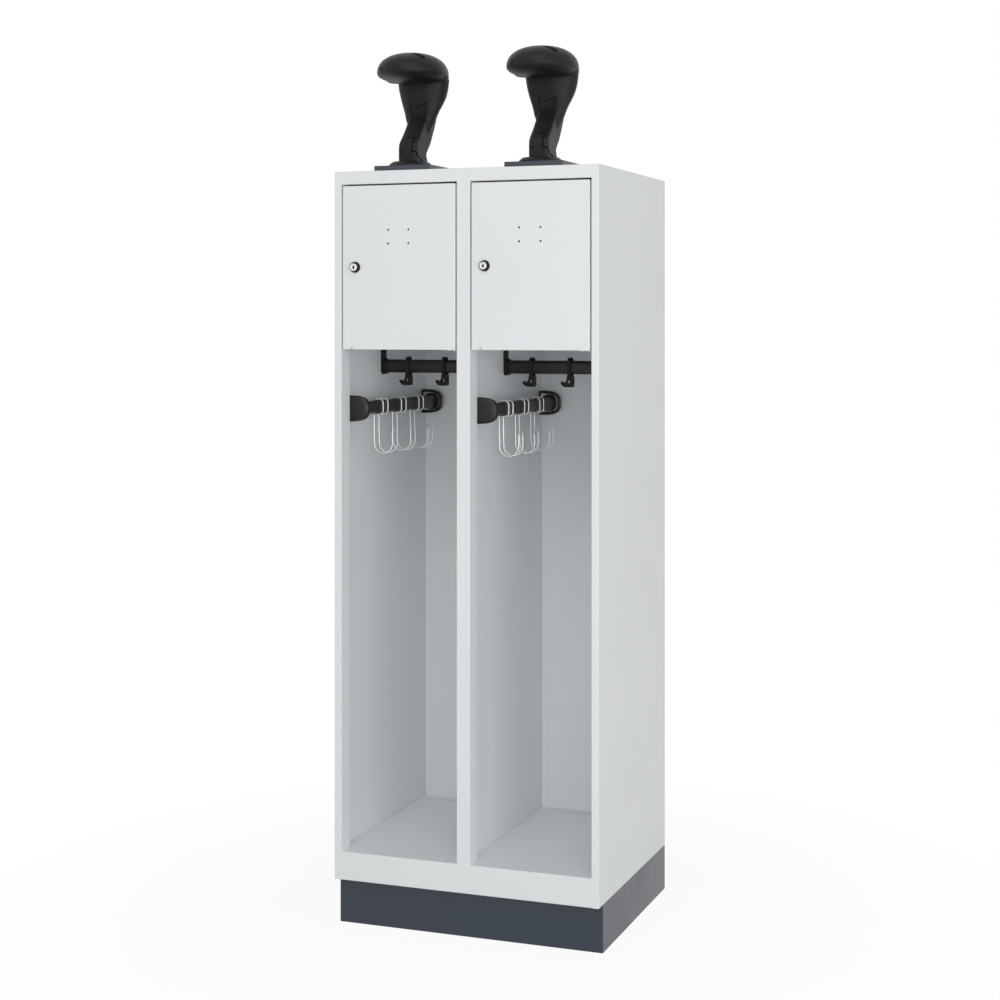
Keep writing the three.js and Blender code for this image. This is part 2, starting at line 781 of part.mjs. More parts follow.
function hookBar() {
  const rings = [];
  for (let i = flareRings; i >= 0; i -= 1) {
    const share = i / flareRings;
    rings.push(barRing(barStartY + flareLength * (1 - share), share ** flareCurveShare));
  }
  for (let i = 0; i <= flareRings; i += 1) {
    const share = i / flareRings;
    rings.push(barRing(barEndY - flareLength * (1 - share), share ** flareCurveShare));
  }
  return loft(rings);
}
// D-shaped outline with its flat side at the wall: heights first, then distance from the wall
function dOutline(wall, reach, height) {
  const corner = half(height) * capCornerShare;
  const points = [[barAxisHeight - half(height), wall]];
  points.push([barAxisHeight + half(height), wall]);
  for (const sign of [1, -1]) {
    for (let i = 0; i <= barCornerSteps + barCornerSteps; i += 1) {
      const turn = (half(Math.PI) * i) / (barCornerSteps + barCornerSteps);
      const angle = sign > 0 ? half(Math.PI) - turn : -turn;
      points.push([
        barAxisHeight + sign * (half(height) - corner) + corner * Math.sin(angle),
        reach - corner + corner * Math.cos(angle),
      ]);
    }
  }
  return points;
}
function endCap(atRear) {
  const [low, high] = atRear
    ? [barRearY - capDepth, barRearY]
    : [barFrontY, barFrontY + capDepth];
  const cavity = atRear
    ? [low - overrun, high - capFloor]
    : [low + capFloor, high + overrun];
  return cut(prism("y", dOutline(seat, capReach, capHeight), low, high), [
    prism("y", dOutline(-overrun, capReach - capRim, capHeight - capRim - capRim), ...cavity),
  ]);
}
function barBracket(atRear) {
  const [low, high] = atRear
    ? [plateRearY - plateThickness, plateRearY]
    : [plateFrontY, plateFrontY + plateThickness];
  const reach = capReach - capRim - seat;
  const height = capHeight - capRim - capRim - seat - seat;
  const flange = atRear
    ? [high - plateFlangeLength, high]
    : [low, low + plateFlangeLength];
  return join([
    prism("y", dOutline(seat, reach, height), low, high),
    box(
      seat, seat + plateThickness, ...flange,
      barAxisHeight - half(plateFlangeHeight), barAxisHeight + half(plateFlangeHeight),
    ),
  ]);
}

// Wire double hook: two loops round the bar, two long strands and a bend that joins their tips
class RingPath extends THREE.Curve {
  constructor(places) {
    super();
    this.places = places;
  }

  step(u) {
    return Math.round(u * (this.places.length - 1));
  }

  getPointAt(u) {
    return this.places[this.step(u)].clone();
  }

  getTangentAt(u) {
    const i = this.step(u);
    const before = this.places[Math.max(i - 1, 0)];
    const after = this.places[Math.min(i + 1, this.places.length - 1)];
    return after.clone().sub(before).normalize();
  }
}
function wireHook() {
  const away = wireRun + wireRadius;
  const strandX = barFromWall - away;
  const roomX = barFromWall + barThickness + away;
  const topZ = barAxisHeight + half(barHeight) + away;
  const underZ = barAxisHeight - half(barHeight) - away;
  const tipX = strandX + wireHookOpening;
  const hookRadius = half(wireHookOpening);
  const bend = half(wirePairPitch);
  const arc = (x, z, radius, from, to, steps) => {
    const places = [];
    for (let i = 0; i <= steps; i += 1) {
      const angle = (Math.PI * (from + ((to - from) * i) / steps)) / half(circleDegrees);
      places.push([x + radius * Math.cos(angle), z + radius * Math.sin(angle)]);
    }
    return places;
  };
  const corner = wireLoopCorner;
  const right = 90;
  const strand = [
    [strandX + wireLoopStart, underZ],
    ...arc(roomX - corner, underZ + corner, corner, -right, 0, wireArcSteps),
    ...arc(roomX - corner, topZ - corner, corner, 0, right, wireArcSteps),
    ...arc(strandX + corner, topZ - corner, corner, right, right + right, wireArcSteps),
    ...arc(
      strandX + hookRadius, wireHookLow + hookRadius, hookRadius, -right - right, 0, wireBendSteps,
    ),
  ];
  const tip = [];
  const tipCentreZ = wireTipHigh - bend;
  for (let i = 0; i <= wireBendSteps; i += 1) {
    const angle = Math.PI - (Math.PI * i) / wireBendSteps;
    tip.push(new THREE.Vector3(tipX, bend * Math.cos(angle), tipCentreZ + bend * Math.sin(angle)));
  }
  const places = [
    ...strand.map(([x, z]) => new THREE.Vector3(x, -bend, z)),
    ...tip,
    ...strand.slice().reverse().map(([x, z]) => new THREE.Vector3(x, bend, z)),
  ];
  const section = new THREE.Shape();
  for (let i = 0; i < wireSides; i += 1) {
    const angle = (i * Math.PI * 2) / wireSides;
    const point = [wireRadius * Math.cos(angle), wireRadius * Math.sin(angle)];
    if (i === 0) section.moveTo(...point);
    else section.lineTo(...point);
  }
  const geometry = new THREE.ExtrudeGeometry(section, {
    steps: places.length - 1,
    extrudePath: new RingPath(places),
    bevelEnabled: false,
  });
  return solidOf(geometry);
}

// Helmet holder parts, about the holder's own axis, from the roof's top face upwards
const discLow = padPlateThickness + seat + seat;
const discTop = discLow + discHeight;
function stemBlank() {
  const low = discTop - discEdge;
  const height = stemHeight + discEdge;
  return loft(stemSectionShares.map(([h, w, front, rear, power]) => {
    const [y0, y1] = [front * stemReach, rear * stemReach];
    const ring = [];
    for (let i = 0; i < stemRingPoints; i += 1) {
      const [a, b] = superellipse((i * Math.PI * 2) / stemRingPoints, power);
      const x = a * w * stemHalfWidth;
      ring.push([x, half(y0 + y1) + b * half(y1 - y0), low + h * height]);
    }
    return ring;
  }));
}
function footRegion(grow) {
  const outline = seamShares.map(([y, z]) => [y * tongueCut + grow, discTop + z * tongueCut + grow]);
  return join([
    prism("x", outline, -stemHalfWidth, stemHalfWidth),
    box(
      -tongueHalfWidth - grow, tongueHalfWidth + grow, -tongueCut, -tongueBack + grow,
      discTop - overrun, discTop + tongueTop + grow,
    ),
  ]);
}
function holderFoot() {
  const disc = turned("z", [
    [0, discLow],
    [discRadius, discLow],
    [discRadius, discLow + discEdge],
    [discTopRadius, discTop],
    [0, discTop],
  ]).translate([0, discCentreOffset, 0]);
  return join([disc, stemBlank().intersect(footRegion(0))]);
}
function holderStem() {
  const under = box(
    -discRadius, discRadius, -stemReach, stemReach, 0, discTop + seat,
  );
  return cut(stemBlank(), [footRegion(seat), under]);
}
const domeLow = discTop + stemHeight + seat;
function holderDome() {
  const widest = domeLow + domeHeight * domeWidestShare;
  const outlineAt = (i) => {
    const angle = (i * Math.PI * 2) / domeRingPoints;
    const rear = Math.sin(angle) > 0;
    const [a, b] = superellipse(angle, rear ? domeRearPower : domeFrontPower);
    const y = b * (rear ? domeRear : domeFront);
    return [a * domeHalfWidth, y, widest - domeTiltShare * y];
  };
  const rings = [];
  const round = (share, power) => (1 - share ** power) ** (1 / power);
  for (const share of domeLowerShares) {
    const ring = [];
    for (let i = 0; i < domeRingPoints; i += 1) {
      const [x, y, z] = outlineAt(i);
      const low = Math.min(domeLow, z);
      ring.push([x * share, y * share, low + (z - low) * (1 - round(share, domeSidePower))]);
    }
    rings.push(ring);
  }
  for (const share of domeUpperShares) {
    const ring = [];
    for (let i = 0; i < domeRingPoints; i += 1) {
      const [x, y, z] = outlineAt(i);
      const rise = domeLow + domeHeight - z;
      ring.push([x * share, y * share, z + rise * round(share, domeSidePower)]);
    }
    rings.push(ring);
  }
  const shell = loft(rings);
  const vent = cylinder(
    "y", ventHoleRadius, domeLow + ventHoleRise, ventHoleX, -domeFront - overrun,
    -domeFront + ventHoleDepth + ventHoleDepth, smallSegments,
  );
  const slot = box(
    -half(topSlotLength), half(topSlotLength), -half(topSlotWidth), half(topSlotWidth),
    domeLow + domeHeight - topSlotDepth, domeLow + domeHeight + overrun,
  ).rotate([0, 0, topSlotTurnDegrees]).translate([topSlotX, topSlotY, 0]);
  return cut(shell, [vent, slot]);
}

// One compartment after the other
sides.forEach((side, index) => {
  const opening = new THREE.Group();
  opening.position.x = (index === 0 ? -1 : 1) * openingCentreX;
  root.add(opening);
  piece(opening, `${side}_door`, doorPan(), paint);
  piece(opening, `${side}_hinge_pin_upper`, upperPin(), blackPlastic);
  piece(opening, `${side}_hinge_pin_lower`, lowerPin(), blackPlastic);

  const lock = new THREE.Group();
  lock.position.set(lockInset - half(doorWidth), frontY, lockZ);
  opening.add(lock);
  piece(lock, `${side}_lock_housing`, lockHousing(), blackPlastic);
  piece(lock, `${side}_lock_plug`, lockPlug(), brightMetal);
  piece(lock, `${side}_lock_cam`, lockCam(), zincSteel);
  piece(lock, `${side}_lock_nut`, lockNut(), zincSteel);

  piece(root, `${side}_shelf`, shelf(index), paint);

  const inside = new THREE.Group();
  inside.position.x = wallOrigins[index];
  root.add(inside);
  piece(inside, `${side}_coat_rail`, railTube(), blackPlastic);
  piece(inside, `${side}_rail_bracket_a`, railBracket(false), blackPlastic);
  piece(inside, `${side}_rail_bracket_b`, railBracket(true), blackPlastic);
  slideHookPlaces.forEach((place, i) => {
    const hook = piece(inside, `${side}_sliding_hook_${i + 1}`, slidingHook(), blackPlastic);
    hook.position.x = place;
  });
  piece(inside, `${side}_hook_bar`, hookBar(), blackPlastic);
  piece(inside, `${side}_bar_cap_front`, endCap(false), blackPlastic);
  piece(inside, `${side}_bar_cap_rear`, endCap(true), blackPlastic);
  piece(inside, `${side}_bar_bracket_front`, barBracket(false), zincSteel);
  piece(inside, `${side}_bar_bracket_rear`, barBracket(true), zincSteel);
  wireHookPlaces.forEach((place, i) => {
    const hook = piece(inside, `${side}_wire_hook_${i + 1}`, wireHook(), zincSteel);
    hook.position.y = place;
  });

  const holder = new THREE.Group();
  holder.position.set((index === 0 ? -1 : 1) * bodyWidth * quarterShare, holderY, bodyTop);
  root.add(holder);
  const plateY = padPlateY - holderY;
  piece(holder, `${side}_holder_plate`, box(
    -half(padPlateSize), half(padPlateSize), plateY - half(padPlateSize), plateY + half(padPlateSize),
    seat, seat + padPlateThickness,
  ), darkPaint);
  piece(holder, `${side}_holder_foot`, holderFoot(), blackPlastic);
  piece(holder, `${side}_holder_stem`, holderStem(), blackPlastic);
  piece(holder, `${side}_holder_dome`, holderDome(), blackPlastic);
});

export default root;
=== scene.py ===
# %% [markdown]
# # Gear locker of folded sheet steel
#
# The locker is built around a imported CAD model, the frame. Blender adds the bends, seams, moulded
# edges and surfaces that the plain solids leave out. Each new piece is made in the frame's own
# coordinates and then rides on one of its bodies.

# %% Load the frame
import bpy
import bmesh
from math import atan2, cos, pi, radians, sin, tan
from mathutils import Matrix, Vector


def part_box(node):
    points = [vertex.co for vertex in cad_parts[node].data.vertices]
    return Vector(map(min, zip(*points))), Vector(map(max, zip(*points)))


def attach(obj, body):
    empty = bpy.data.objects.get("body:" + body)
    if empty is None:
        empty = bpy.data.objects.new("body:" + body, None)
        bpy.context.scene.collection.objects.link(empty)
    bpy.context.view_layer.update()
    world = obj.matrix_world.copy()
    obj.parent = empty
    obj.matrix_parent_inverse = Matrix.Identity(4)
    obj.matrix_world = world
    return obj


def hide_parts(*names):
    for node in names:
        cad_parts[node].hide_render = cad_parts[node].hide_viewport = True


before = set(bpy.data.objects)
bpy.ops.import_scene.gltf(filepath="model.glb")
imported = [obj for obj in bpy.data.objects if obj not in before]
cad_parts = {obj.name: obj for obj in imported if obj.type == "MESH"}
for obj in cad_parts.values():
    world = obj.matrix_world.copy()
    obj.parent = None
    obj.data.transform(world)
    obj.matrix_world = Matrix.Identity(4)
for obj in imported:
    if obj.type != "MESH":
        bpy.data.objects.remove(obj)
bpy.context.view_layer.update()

# %% [markdown]
# Places are given in millimetres from the middle of the cabinet, and one function turns them into
# the frame's metres. The only shift is along Y. It is measured on the left side panel, whose
# front face is 250 mm ahead of the middle.

# %% Places in millimetres
MILLIMETRE = 0.001
FRONT, REAR = -250.0, 250.0
shift_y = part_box("left_side_panel")[0].y - FRONT * MILLIMETRE


def metres(point):
    x, y, z = point
    return Vector((x * MILLIMETRE, y * MILLIMETRE + shift_y, z * MILLIMETRE))


print("shift along Y:", round(shift_y * 1000, 2), "mm")

# %% [markdown]
# ## Solids from rings
#
# A folded sheet, a tube or a moulded cap is a row of rings with the same number of points. A skin
# joins each ring to the next. The row may close on itself, otherwise its ends get a face each.

# %% Skins over rings
def skin(rings, loop=False):
    count = len(rings[0])
    points = [point for ring in rings for point in ring]
    faces = []
    for r in range(len(rings) if loop else len(rings) - 1):
        a, b = r * count, (r + 1) % len(rings) * count
        for i in range(count):
            j = (i + 1) % count
            faces.append((a + i, a + j, b + j, b + i))
    if not loop:
        faces += [tuple(range(count)), tuple(range(len(points) - count, len(points)))]
    return points, faces


PLACE = {
    "x": lambda a, b, t: (t, a, b),
    "y": lambda a, b, t: (a, t, b),
    "z": lambda a, b, t: (a, b, t),
}


def prism(axis, outline, low, high):
    """An outline pushed along an axis: (y, z) along x, (x, z) along y, (x, y) along z."""
    return skin([[PLACE[axis](a, b, t) for a, b in outline] for t in (low, high)])


def block(x, y, z):
    return prism("z", [(x[0], y[0]), (x[1], y[0]), (x[1], y[1]), (x[0], y[1])], *z)


# %% Pieces from solids
def piece_from(name, *solids):
    points, faces = [], []
    for more_points, more_faces in solids:
        start = len(points)
        points += [metres(point) for point in more_points]
        faces += [tuple(start + i for i in face) for face in more_faces]
    mesh = bpy.data.meshes.new(name)
    mesh.from_pydata(points, [], faces)
    work = bmesh.new()
    work.from_mesh(mesh)
    bmesh.ops.remove_doubles(work, verts=work.verts, dist=1e-7)
    bmesh.ops.recalc_face_normals(work, faces=work.faces)
    work.to_mesh(mesh)
    work.free()
    piece = bpy.data.objects.new(name, mesh)
    bpy.context.scene.collection.objects.link(piece)
    return piece


# %% [markdown]
# Holes, slots and joined flanges are cut and welded with exact booleans, each baked into the mesh
# at once.

# %% Cut and weld
def bake(piece):
    bpy.context.view_layer.update()
    graph = bpy.context.evaluated_depsgraph_get()
    mesh = bpy.data.meshes.new_from_object(piece.evaluated_get(graph))
    piece.modifiers.clear()
    old, piece.data = piece.data, mesh
    bpy.data.meshes.remove(old)
    mesh.name = piece.name


def combine(piece, tool, operation):
    step = piece.modifiers.new("Step", "BOOLEAN")
    step.operation, step.solver, step.object = operation, "EXACT", tool
    bake(piece)
    mesh = tool.data
    bpy.data.objects.remove(tool)
    bpy.data.meshes.remove(mesh)


def carve(piece, *solids):
    combine(piece, piece_from("tool", *solids), "DIFFERENCE")


def weld(piece, *solids):
    for solid in solids:
        combine(piece, piece_from("tool", solid), "UNION")


# %% [markdown]
# A finished piece gets smooth shading that stays sharp at the corners, and weighted normals, which
# keep large sheets flat beside their narrow bends. Where a piece has hard edges it also gets a
# small bevel, because real edges catch a line of light.

# %% Finish a piece
SMOOTH_BELOW = radians(38)
ROUND_ABOVE = radians(50)


def round_edges(part, width):
    step = part.modifiers.new("Edge", "BEVEL")
    step.width, step.segments = width * MILLIMETRE, 2
    step.limit_method, step.angle_limit = "ANGLE", ROUND_ABOVE


def dress(piece, finish, body, node=None, bevel=0.0):
    """Shading and surface, then the body to ride on and the CAD node to stand for."""
    piece.data.shade_smooth()
    piece.data.set_sharp_from_angle(angle=SMOOTH_BELOW)
    if bevel:
        round_edges(piece, bevel)
    normals = piece.modifiers.new("Normals", "WEIGHTED_NORMAL")
    normals.weight, normals.keep_sharp = 100, True
    piece.data.materials.clear()
    piece.data.materials.append(finish)
    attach(piece, body)
    if node:
        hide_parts(node)
    print(piece.name, "on", body, "with", len(piece.data.polygons), "faces")


def refinish(node, finish, bevel):
    """A CAD node whose shape is right keeps it, and gets rounded edges and a better surface."""
    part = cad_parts[node]
    for place in part.material_slots:
        place.material = finish
    round_edges(part, bevel)


# %% [markdown]
# ## Surfaces
#
# Each surface starts from noise in object coordinates, in metres: a scale of 500 gives lumps of
# about 2 mm. Effects that the finishes share are node groups which give out values only.

# %% Node helpers
def feed(tree, socket, value):
    """Links a node's output to the socket, and sets anything else on the socket itself."""
    if hasattr(value, "is_output"):
        tree.links.new(value, socket)
    else:
        socket.default_value = value


def group(name, inputs, outputs):
    """A new group, with the inner sockets for what comes in and what goes out."""
    tree = bpy.data.node_groups.new(name, "ShaderNodeTree")
    number = "NodeSocketFloat"
    for label, value in inputs.items():
        socket = tree.interface.new_socket(label, in_out="INPUT", socket_type=number)
        socket.default_value = value
    for label in outputs:
        tree.interface.new_socket(label, in_out="OUTPUT", socket_type=number)
    source, result = tree.nodes.new("NodeGroupInput"), tree.nodes.new("NodeGroupOutput")
    return tree, source.outputs, result.inputs


def calculate(tree, operation, *values):
    node = tree.nodes.new("ShaderNodeMath")
    node.operation = operation
    for socket, value in zip(node.inputs, values):
        feed(tree, socket, value)
    return node.outputs[0]


def object_places(tree):
    return tree.nodes.new("ShaderNodeTexCoord").outputs["Object"]


def noise(tree, scale, detail, rough=0.5, vector=None):
    node = tree.nodes.new("ShaderNodeTexNoise")
    for label, value in (("Scale", scale), ("Detail", detail), ("Roughness", rough),
                         ("Vector", vector or object_places(tree))):
        feed(tree, node.inputs[label], value)
    return node.outputs["Fac"]


def remap(tree, value, low, high, new_low=0.0, new_high=1.0):
    node = tree.nodes.new("ShaderNodeMapRange")
    for label, number in (("Value", value), ("From Min", low), ("From Max", high),
                          ("To Min", new_low), ("To Max", new_high)):
        feed(tree, node.inputs[label], number)
    return node.outputs["Result"]


def bump(tree, height, distance):
    node = tree.nodes.new("ShaderNodeBump")
    feed(tree, node.inputs["Distance"], distance)
    feed(tree, node.inputs["Height"], height)
    return node.outputs["Normal"]


def mixed(tree, share, first, second):
    node = tree.nodes.new("ShaderNodeMix")
    node.data_type = "RGBA"
    for number, value in ((0, share), (6, first), (7, second)):
        feed(tree, node.inputs[number], value)
    return node.outputs[2]


# %% [markdown]
# Powder paint has very low waves, like the peel of an orange, and moulded plastic has a finer
# grain. One group serves both: it gives the height of the waves, the roughness and a mask of slow
# changes in tone.

# %% Shared grain
FINE_SHARE = 0.35
GRAIN, source, result = group(
    "Surface grain",
    {"Wave scale": 450.0, "Grain scale": 2200.0, "Roughness low": 0.4, "Roughness high": 0.5},
    ["Height", "Roughness", "Tone"])
waves = noise(GRAIN, source["Wave scale"], 1.0)
fine = noise(GRAIN, source["Grain scale"], 2.0)
feed(GRAIN, result["Height"], calculate(GRAIN, "MULTIPLY_ADD", fine, FINE_SHARE, waves))
feed(GRAIN, result["Roughness"], remap(GRAIN, noise(GRAIN, 9.0, 3.0), 0.3, 0.7,
                                       source["Roughness low"], source["Roughness high"]))
feed(GRAIN, result["Tone"], remap(GRAIN, noise(GRAIN, 3.5, 4.0), 0.3, 0.7))
print("group:", GRAIN.name)

# %% [markdown]
# Hands, boots and dust leave faint marks. The wear group gives a mask that is mostly black with
# thin, broken streaks and specks. It is kept light, because the real locker is nearly new.

# %% Shared wear
STREAK_STRETCH = (9.0, 9.0, 1.0)
WEAR, source, result = group("Light wear", {"Speck scale": 160.0, "Amount": 0.5}, ["Mask"])
specks = remap(WEAR, noise(WEAR, source["Speck scale"], 4.0, 0.65), 0.62, 0.74)
stretch = WEAR.nodes.new("ShaderNodeMapping")
feed(WEAR, stretch.inputs["Vector"], object_places(WEAR))
feed(WEAR, stretch.inputs["Scale"], STREAK_STRETCH)
streaks = remap(WEAR, noise(WEAR, 12.0, 5.0, 0.6, stretch.outputs["Vector"]), 0.6, 0.78)
marks = calculate(WEAR, "MAXIMUM", specks, streaks)
feed(WEAR, result["Mask"], calculate(WEAR, "MULTIPLY", marks, source["Amount"]))
print("group:", WEAR.name)

# %% Build a finish from the shared groups
CLOUD_TONE = 0.975


def placed(tree, shared, **values):
    node = tree.nodes.new("ShaderNodeGroup")
    node.node_tree = shared
    for label, value in values.items():
        feed(tree, node.inputs[label.replace("_", " ")], value)
    return node.outputs


def finish(name, base, worn, waves, grain, rough, depth, specks, amount, metallic=0.0,
           specular=0.5):
    material = bpy.data.materials.new(name)
    material.use_nodes = True
    tree = material.node_tree
    shader = tree.nodes["Principled BSDF"]
    shader.inputs["Metallic"].default_value = metallic
    shader.inputs["Specular IOR Level"].default_value = specular
    surface = placed(tree, GRAIN, Wave_scale=waves, Grain_scale=grain,
                     Roughness_low=rough[0], Roughness_high=rough[1])
    wear = placed(tree, WEAR, Speck_scale=specks, Amount=amount)
    cloudy = [channel * CLOUD_TONE for channel in base]
    tone = mixed(tree, surface["Tone"], (*base, 1.0), (*cloudy, 1.0))
    tone = mixed(tree, wear["Mask"], tone, (*worn, 1.0))
    waviness = bump(tree, surface["Height"], depth * MILLIMETRE)
    tree.links.new(tone, shader.inputs["Base Color"])
    tree.links.new(surface["Roughness"], shader.inputs["Roughness"])
    tree.links.new(waviness, shader.inputs["Normal"])
    return material


# %% [markdown]
# The cabinet is powder painted in a cool pale grey, the plinth in a dark slate, and the plates
# under the helmet holders in a slightly paler one. Paint isn't metal to the eye, so its metallic
# is zero. The fittings are black plastic: a duller one for the moulded forms, a slightly glossier
# one for the rail, the bar and its caps.

# %% Paints and plastics
PAINT = finish("painted_sheet", (0.866, 0.893, 0.905), (0.80, 0.82, 0.83), 420.0, 1900.0,
               (0.40, 0.50), 0.030, specks=220.0, amount=0.10)
DARK = finish("dark_sheet", (0.024, 0.036, 0.052), (0.050, 0.062, 0.078), 520.0, 2100.0,
              (0.28, 0.36), 0.030, specks=240.0, amount=0.30)
PAD = finish("pad_sheet", (0.046, 0.060, 0.076), (0.070, 0.084, 0.100), 520.0, 2100.0,
             (0.30, 0.38), 0.030, specks=240.0, amount=0.30)
BLACK = finish("black_plastic", (0.0112, 0.0114, 0.0120), (0.028, 0.028, 0.029), 900.0, 3200.0,
               (0.40, 0.50), 0.025, specks=300.0, amount=0.25, specular=0.20)
TUBE = finish("black_tube", (0.0100, 0.0100, 0.0106), (0.024, 0.024, 0.025), 260.0, 2400.0,
              (0.30, 0.40), 0.020, specks=260.0, amount=0.25, specular=0.34)
print("finishes:", PAINT.name, DARK.name, PAD.name, BLACK.name, TUBE.name)

# %% [markdown]
# The lock plugs are polished, the small brackets inside the black caps are dull zinc with cloudy
# crystals, and the hook wire has a pale coat that is only partly metal to the eye.

# %% Metals
BRIGHT = finish("bright_metal", (0.86, 0.865, 0.87), (0.62, 0.62, 0.63), 700.0, 2600.0,
                (0.16, 0.26), 0.008, specks=420.0, amount=0.35, metallic=1.0)
ZINC = finish("zinc_steel", (0.60, 0.61, 0.62), (0.44, 0.45, 0.46), 130.0, 1500.0,
              (0.34, 0.52), 0.012, specks=130.0, amount=0.55, metallic=1.0)
WIRE = finish("wire_steel", (0.92, 0.925, 0.93), (0.68, 0.69, 0.70), 300.0, 2600.0,
              (0.22, 0.32), 0.008, specks=380.0, amount=0.35, metallic=0.4)
print("metals:", BRIGHT.name, ZINC.name, WIRE.name)

# %% [markdown]
# ## Folded sheets
#
# A folded sheet has round bends: half a millimetre inside and one sheet more outside. It is drawn
# as a line across the folds. At each corner the line turns on an arc, the underside follows on
# the same centre, and then the section is pushed along the sheet. How far it reaches may differ
# from fold to fold, which leaves notches where two folds meet.

# %% Round bends
SHEET = 1.0
INSIDE_BEND = 0.5
BEND_OUTSIDE = INSIDE_BEND + SHEET
BEND_STEPS = 6
STRAIGHT = 0.01


def folded_pairs(line):
    """Points of the face and of the underside, which lies to the left of the line."""
    pairs = []
    for i, place in enumerate(line):
        here = Vector(place)
        before = (here - Vector(line[i - 1])).normalized() if i else None
        after = (Vector(line[i + 1]) - here).normalized() if i + 1 < len(line) else None
        way = after or before
        left = Vector((-way.y, way.x))
        angle = 0.0
        if before and after:
            angle = atan2(before.x * after.y - before.y * after.x, before.dot(after))
        if abs(angle) < STRAIGHT:
            pairs.append((here, here + left * SHEET))
            continue
        side = 1 if angle > 0 else -1
        face_radius = BEND_OUTSIDE if side > 0 else INSIDE_BEND
        left = Vector((-before.y, before.x)) * side
        centre = here - before * face_radius * tan(abs(angle) / 2) + left * face_radius
        for k in range(BEND_STEPS + 1):
            arm = Matrix.Rotation(angle * k / BEND_STEPS, 2) @ -left
            pairs.append((centre + arm * face_radius, centre + arm * (face_radius - side * SHEET)))
    return pairs


def folded(axis, line, reach):
    place = PLACE[axis]
    rings = []
    for face, under in folded_pairs(line):
        low, high = reach(face)
        rings.append([place(*face, low), place(*face, high),
                      place(*under, high), place(*under, low)])
    return skin(rings)


# %% [markdown]
# ### Side panels
#
# Each side is one long sheet: a rear flange, the side itself, the 16 mm stile beside the door
# opening, its return and a small lip. The left one has a slot in its return for the lock's cam.

# %% Side panels
HALF_WIDTH = 300.0
STILE_INNER = 284.0
SIDE_FLANGE, RETURN_LIP = 20.0, 8.0
RETURN_REAR = -206.4
BODY_LOW, BODY_TOP = 100.0, 1630.0
ROOF_UNDER = BODY_TOP - SHEET
SIDE_TOP = ROOF_UNDER - 0.1
LOCK_Z = 1423.2
CAM_SLOT_Y = (-232.4, -224.4)
CAM_SLOT_Z = (LOCK_Z - 24.0, LOCK_Z + 8.5)


def cam_slot(x):
    return block((x - 3, x + 3), CAM_SLOT_Y, CAM_SLOT_Z)


for side, sign in (("left", -1), ("right", 1)):
    line = [(-HALF_WIDTH + SIDE_FLANGE, REAR), (-HALF_WIDTH, REAR), (-HALF_WIDTH, FRONT),
            (-STILE_INNER, FRONT), (-STILE_INNER, RETURN_REAR),
            (-STILE_INNER - RETURN_LIP, RETURN_REAR)]
    points, faces = folded("z", line, lambda face: (BODY_LOW, SIDE_TOP))
    panel = piece_from(side + "_side", ([(-sign * x, y, z) for x, y, z in points], faces))
    if side == "left":
        carve(panel, cam_slot(-STILE_INNER))
    dress(panel, PAINT, "carcass", side + "_side_panel")

# %% [markdown]
# ### Roof and floor
#
# The roof sheet turns down into the top rail, the floor sheet into the deeper bottom rail. The
# welds are ground flat before painting, so the rails' faces run on over the stiles' bends and end
# exactly where the stiles are flat again. Both sheets, and the shelves later, have three flanges
# that stand against the walls.

# %% Roof
GAP = 0.3
INNER_SIDE = HALF_WIDTH - SHEET - GAP
RAIL_FACE_HALF = STILE_INNER + BEND_OUTSIDE
TOP_RAIL_LOW, TOP_RAIL_LIP = 1602.0, -225.0
ROOF_FLANGE, ROOF_FLANGE_Y = 18.0, (-198.0, 235.1)
STEP = 0.05


def flanges(across, rear, along, z, rear_across=None):
    """Three strips of sheet on edge: one at the rear and one at each side."""
    left, right = across
    return (block(rear_across or across, (rear - SHEET, rear), z),
            block((left, left + SHEET), along, z), block((right - SHEET, right), along, z))


def roof_reach(face):
    z = face.y
    if z > BODY_TOP - BEND_OUTSIDE - STEP / 2:
        return -HALF_WIDTH, HALF_WIDTH
    if z > TOP_RAIL_LOW + BEND_OUTSIDE + STEP / 2:
        return -RAIL_FACE_HALF, RAIL_FACE_HALF
    return -STILE_INNER, STILE_INNER


roof_line = [(REAR, BODY_TOP), (FRONT, BODY_TOP), (FRONT, BODY_TOP - BEND_OUTSIDE - STEP),
             (FRONT, TOP_RAIL_LOW + BEND_OUTSIDE + STEP), (FRONT, TOP_RAIL_LOW),
             (TOP_RAIL_LIP, TOP_RAIL_LOW)]
roof = piece_from("roof", folded("x", roof_line, roof_reach))
between_side_flanges = HALF_WIDTH - SIDE_FLANGE - GAP
weld(roof, *flanges((-INNER_SIDE, INNER_SIDE), REAR, ROOF_FLANGE_Y,
                    (ROOF_UNDER - ROOF_FLANGE, ROOF_UNDER + SHEET / 2),
                    (-between_side_flanges, between_side_flanges)))

# %% Holes for the hinge pins
PIN_OFFSET, PIN_Y = 121.0, -243.0
PIN_HOLE, DOOR_PIN_HOLE = 2.8, 2.65
OPENINGS = {"left": -149.5, "right": 149.5}


def circle(a, b, radius, steps=24):
    return [(a + radius * cos(2 * pi * i / steps), b + radius * sin(2 * pi * i / steps))
            for i in range(steps)]


def pin_hole(side, low, high, radius=PIN_HOLE):
    return prism("z", circle(OPENINGS[side] + PIN_OFFSET, PIN_Y, radius), low, high)


carve(roof, *[pin_hole(side, TOP_RAIL_LOW - 4, TOP_RAIL_LOW + 4) for side in OPENINGS])
dress(roof, PAINT, "carcass", "roof_panel")

# %% [markdown]
# The floor has a row of punched slots near the back of each compartment. The sheet is narrower at
# the front, where it passes between the stiles' returns.

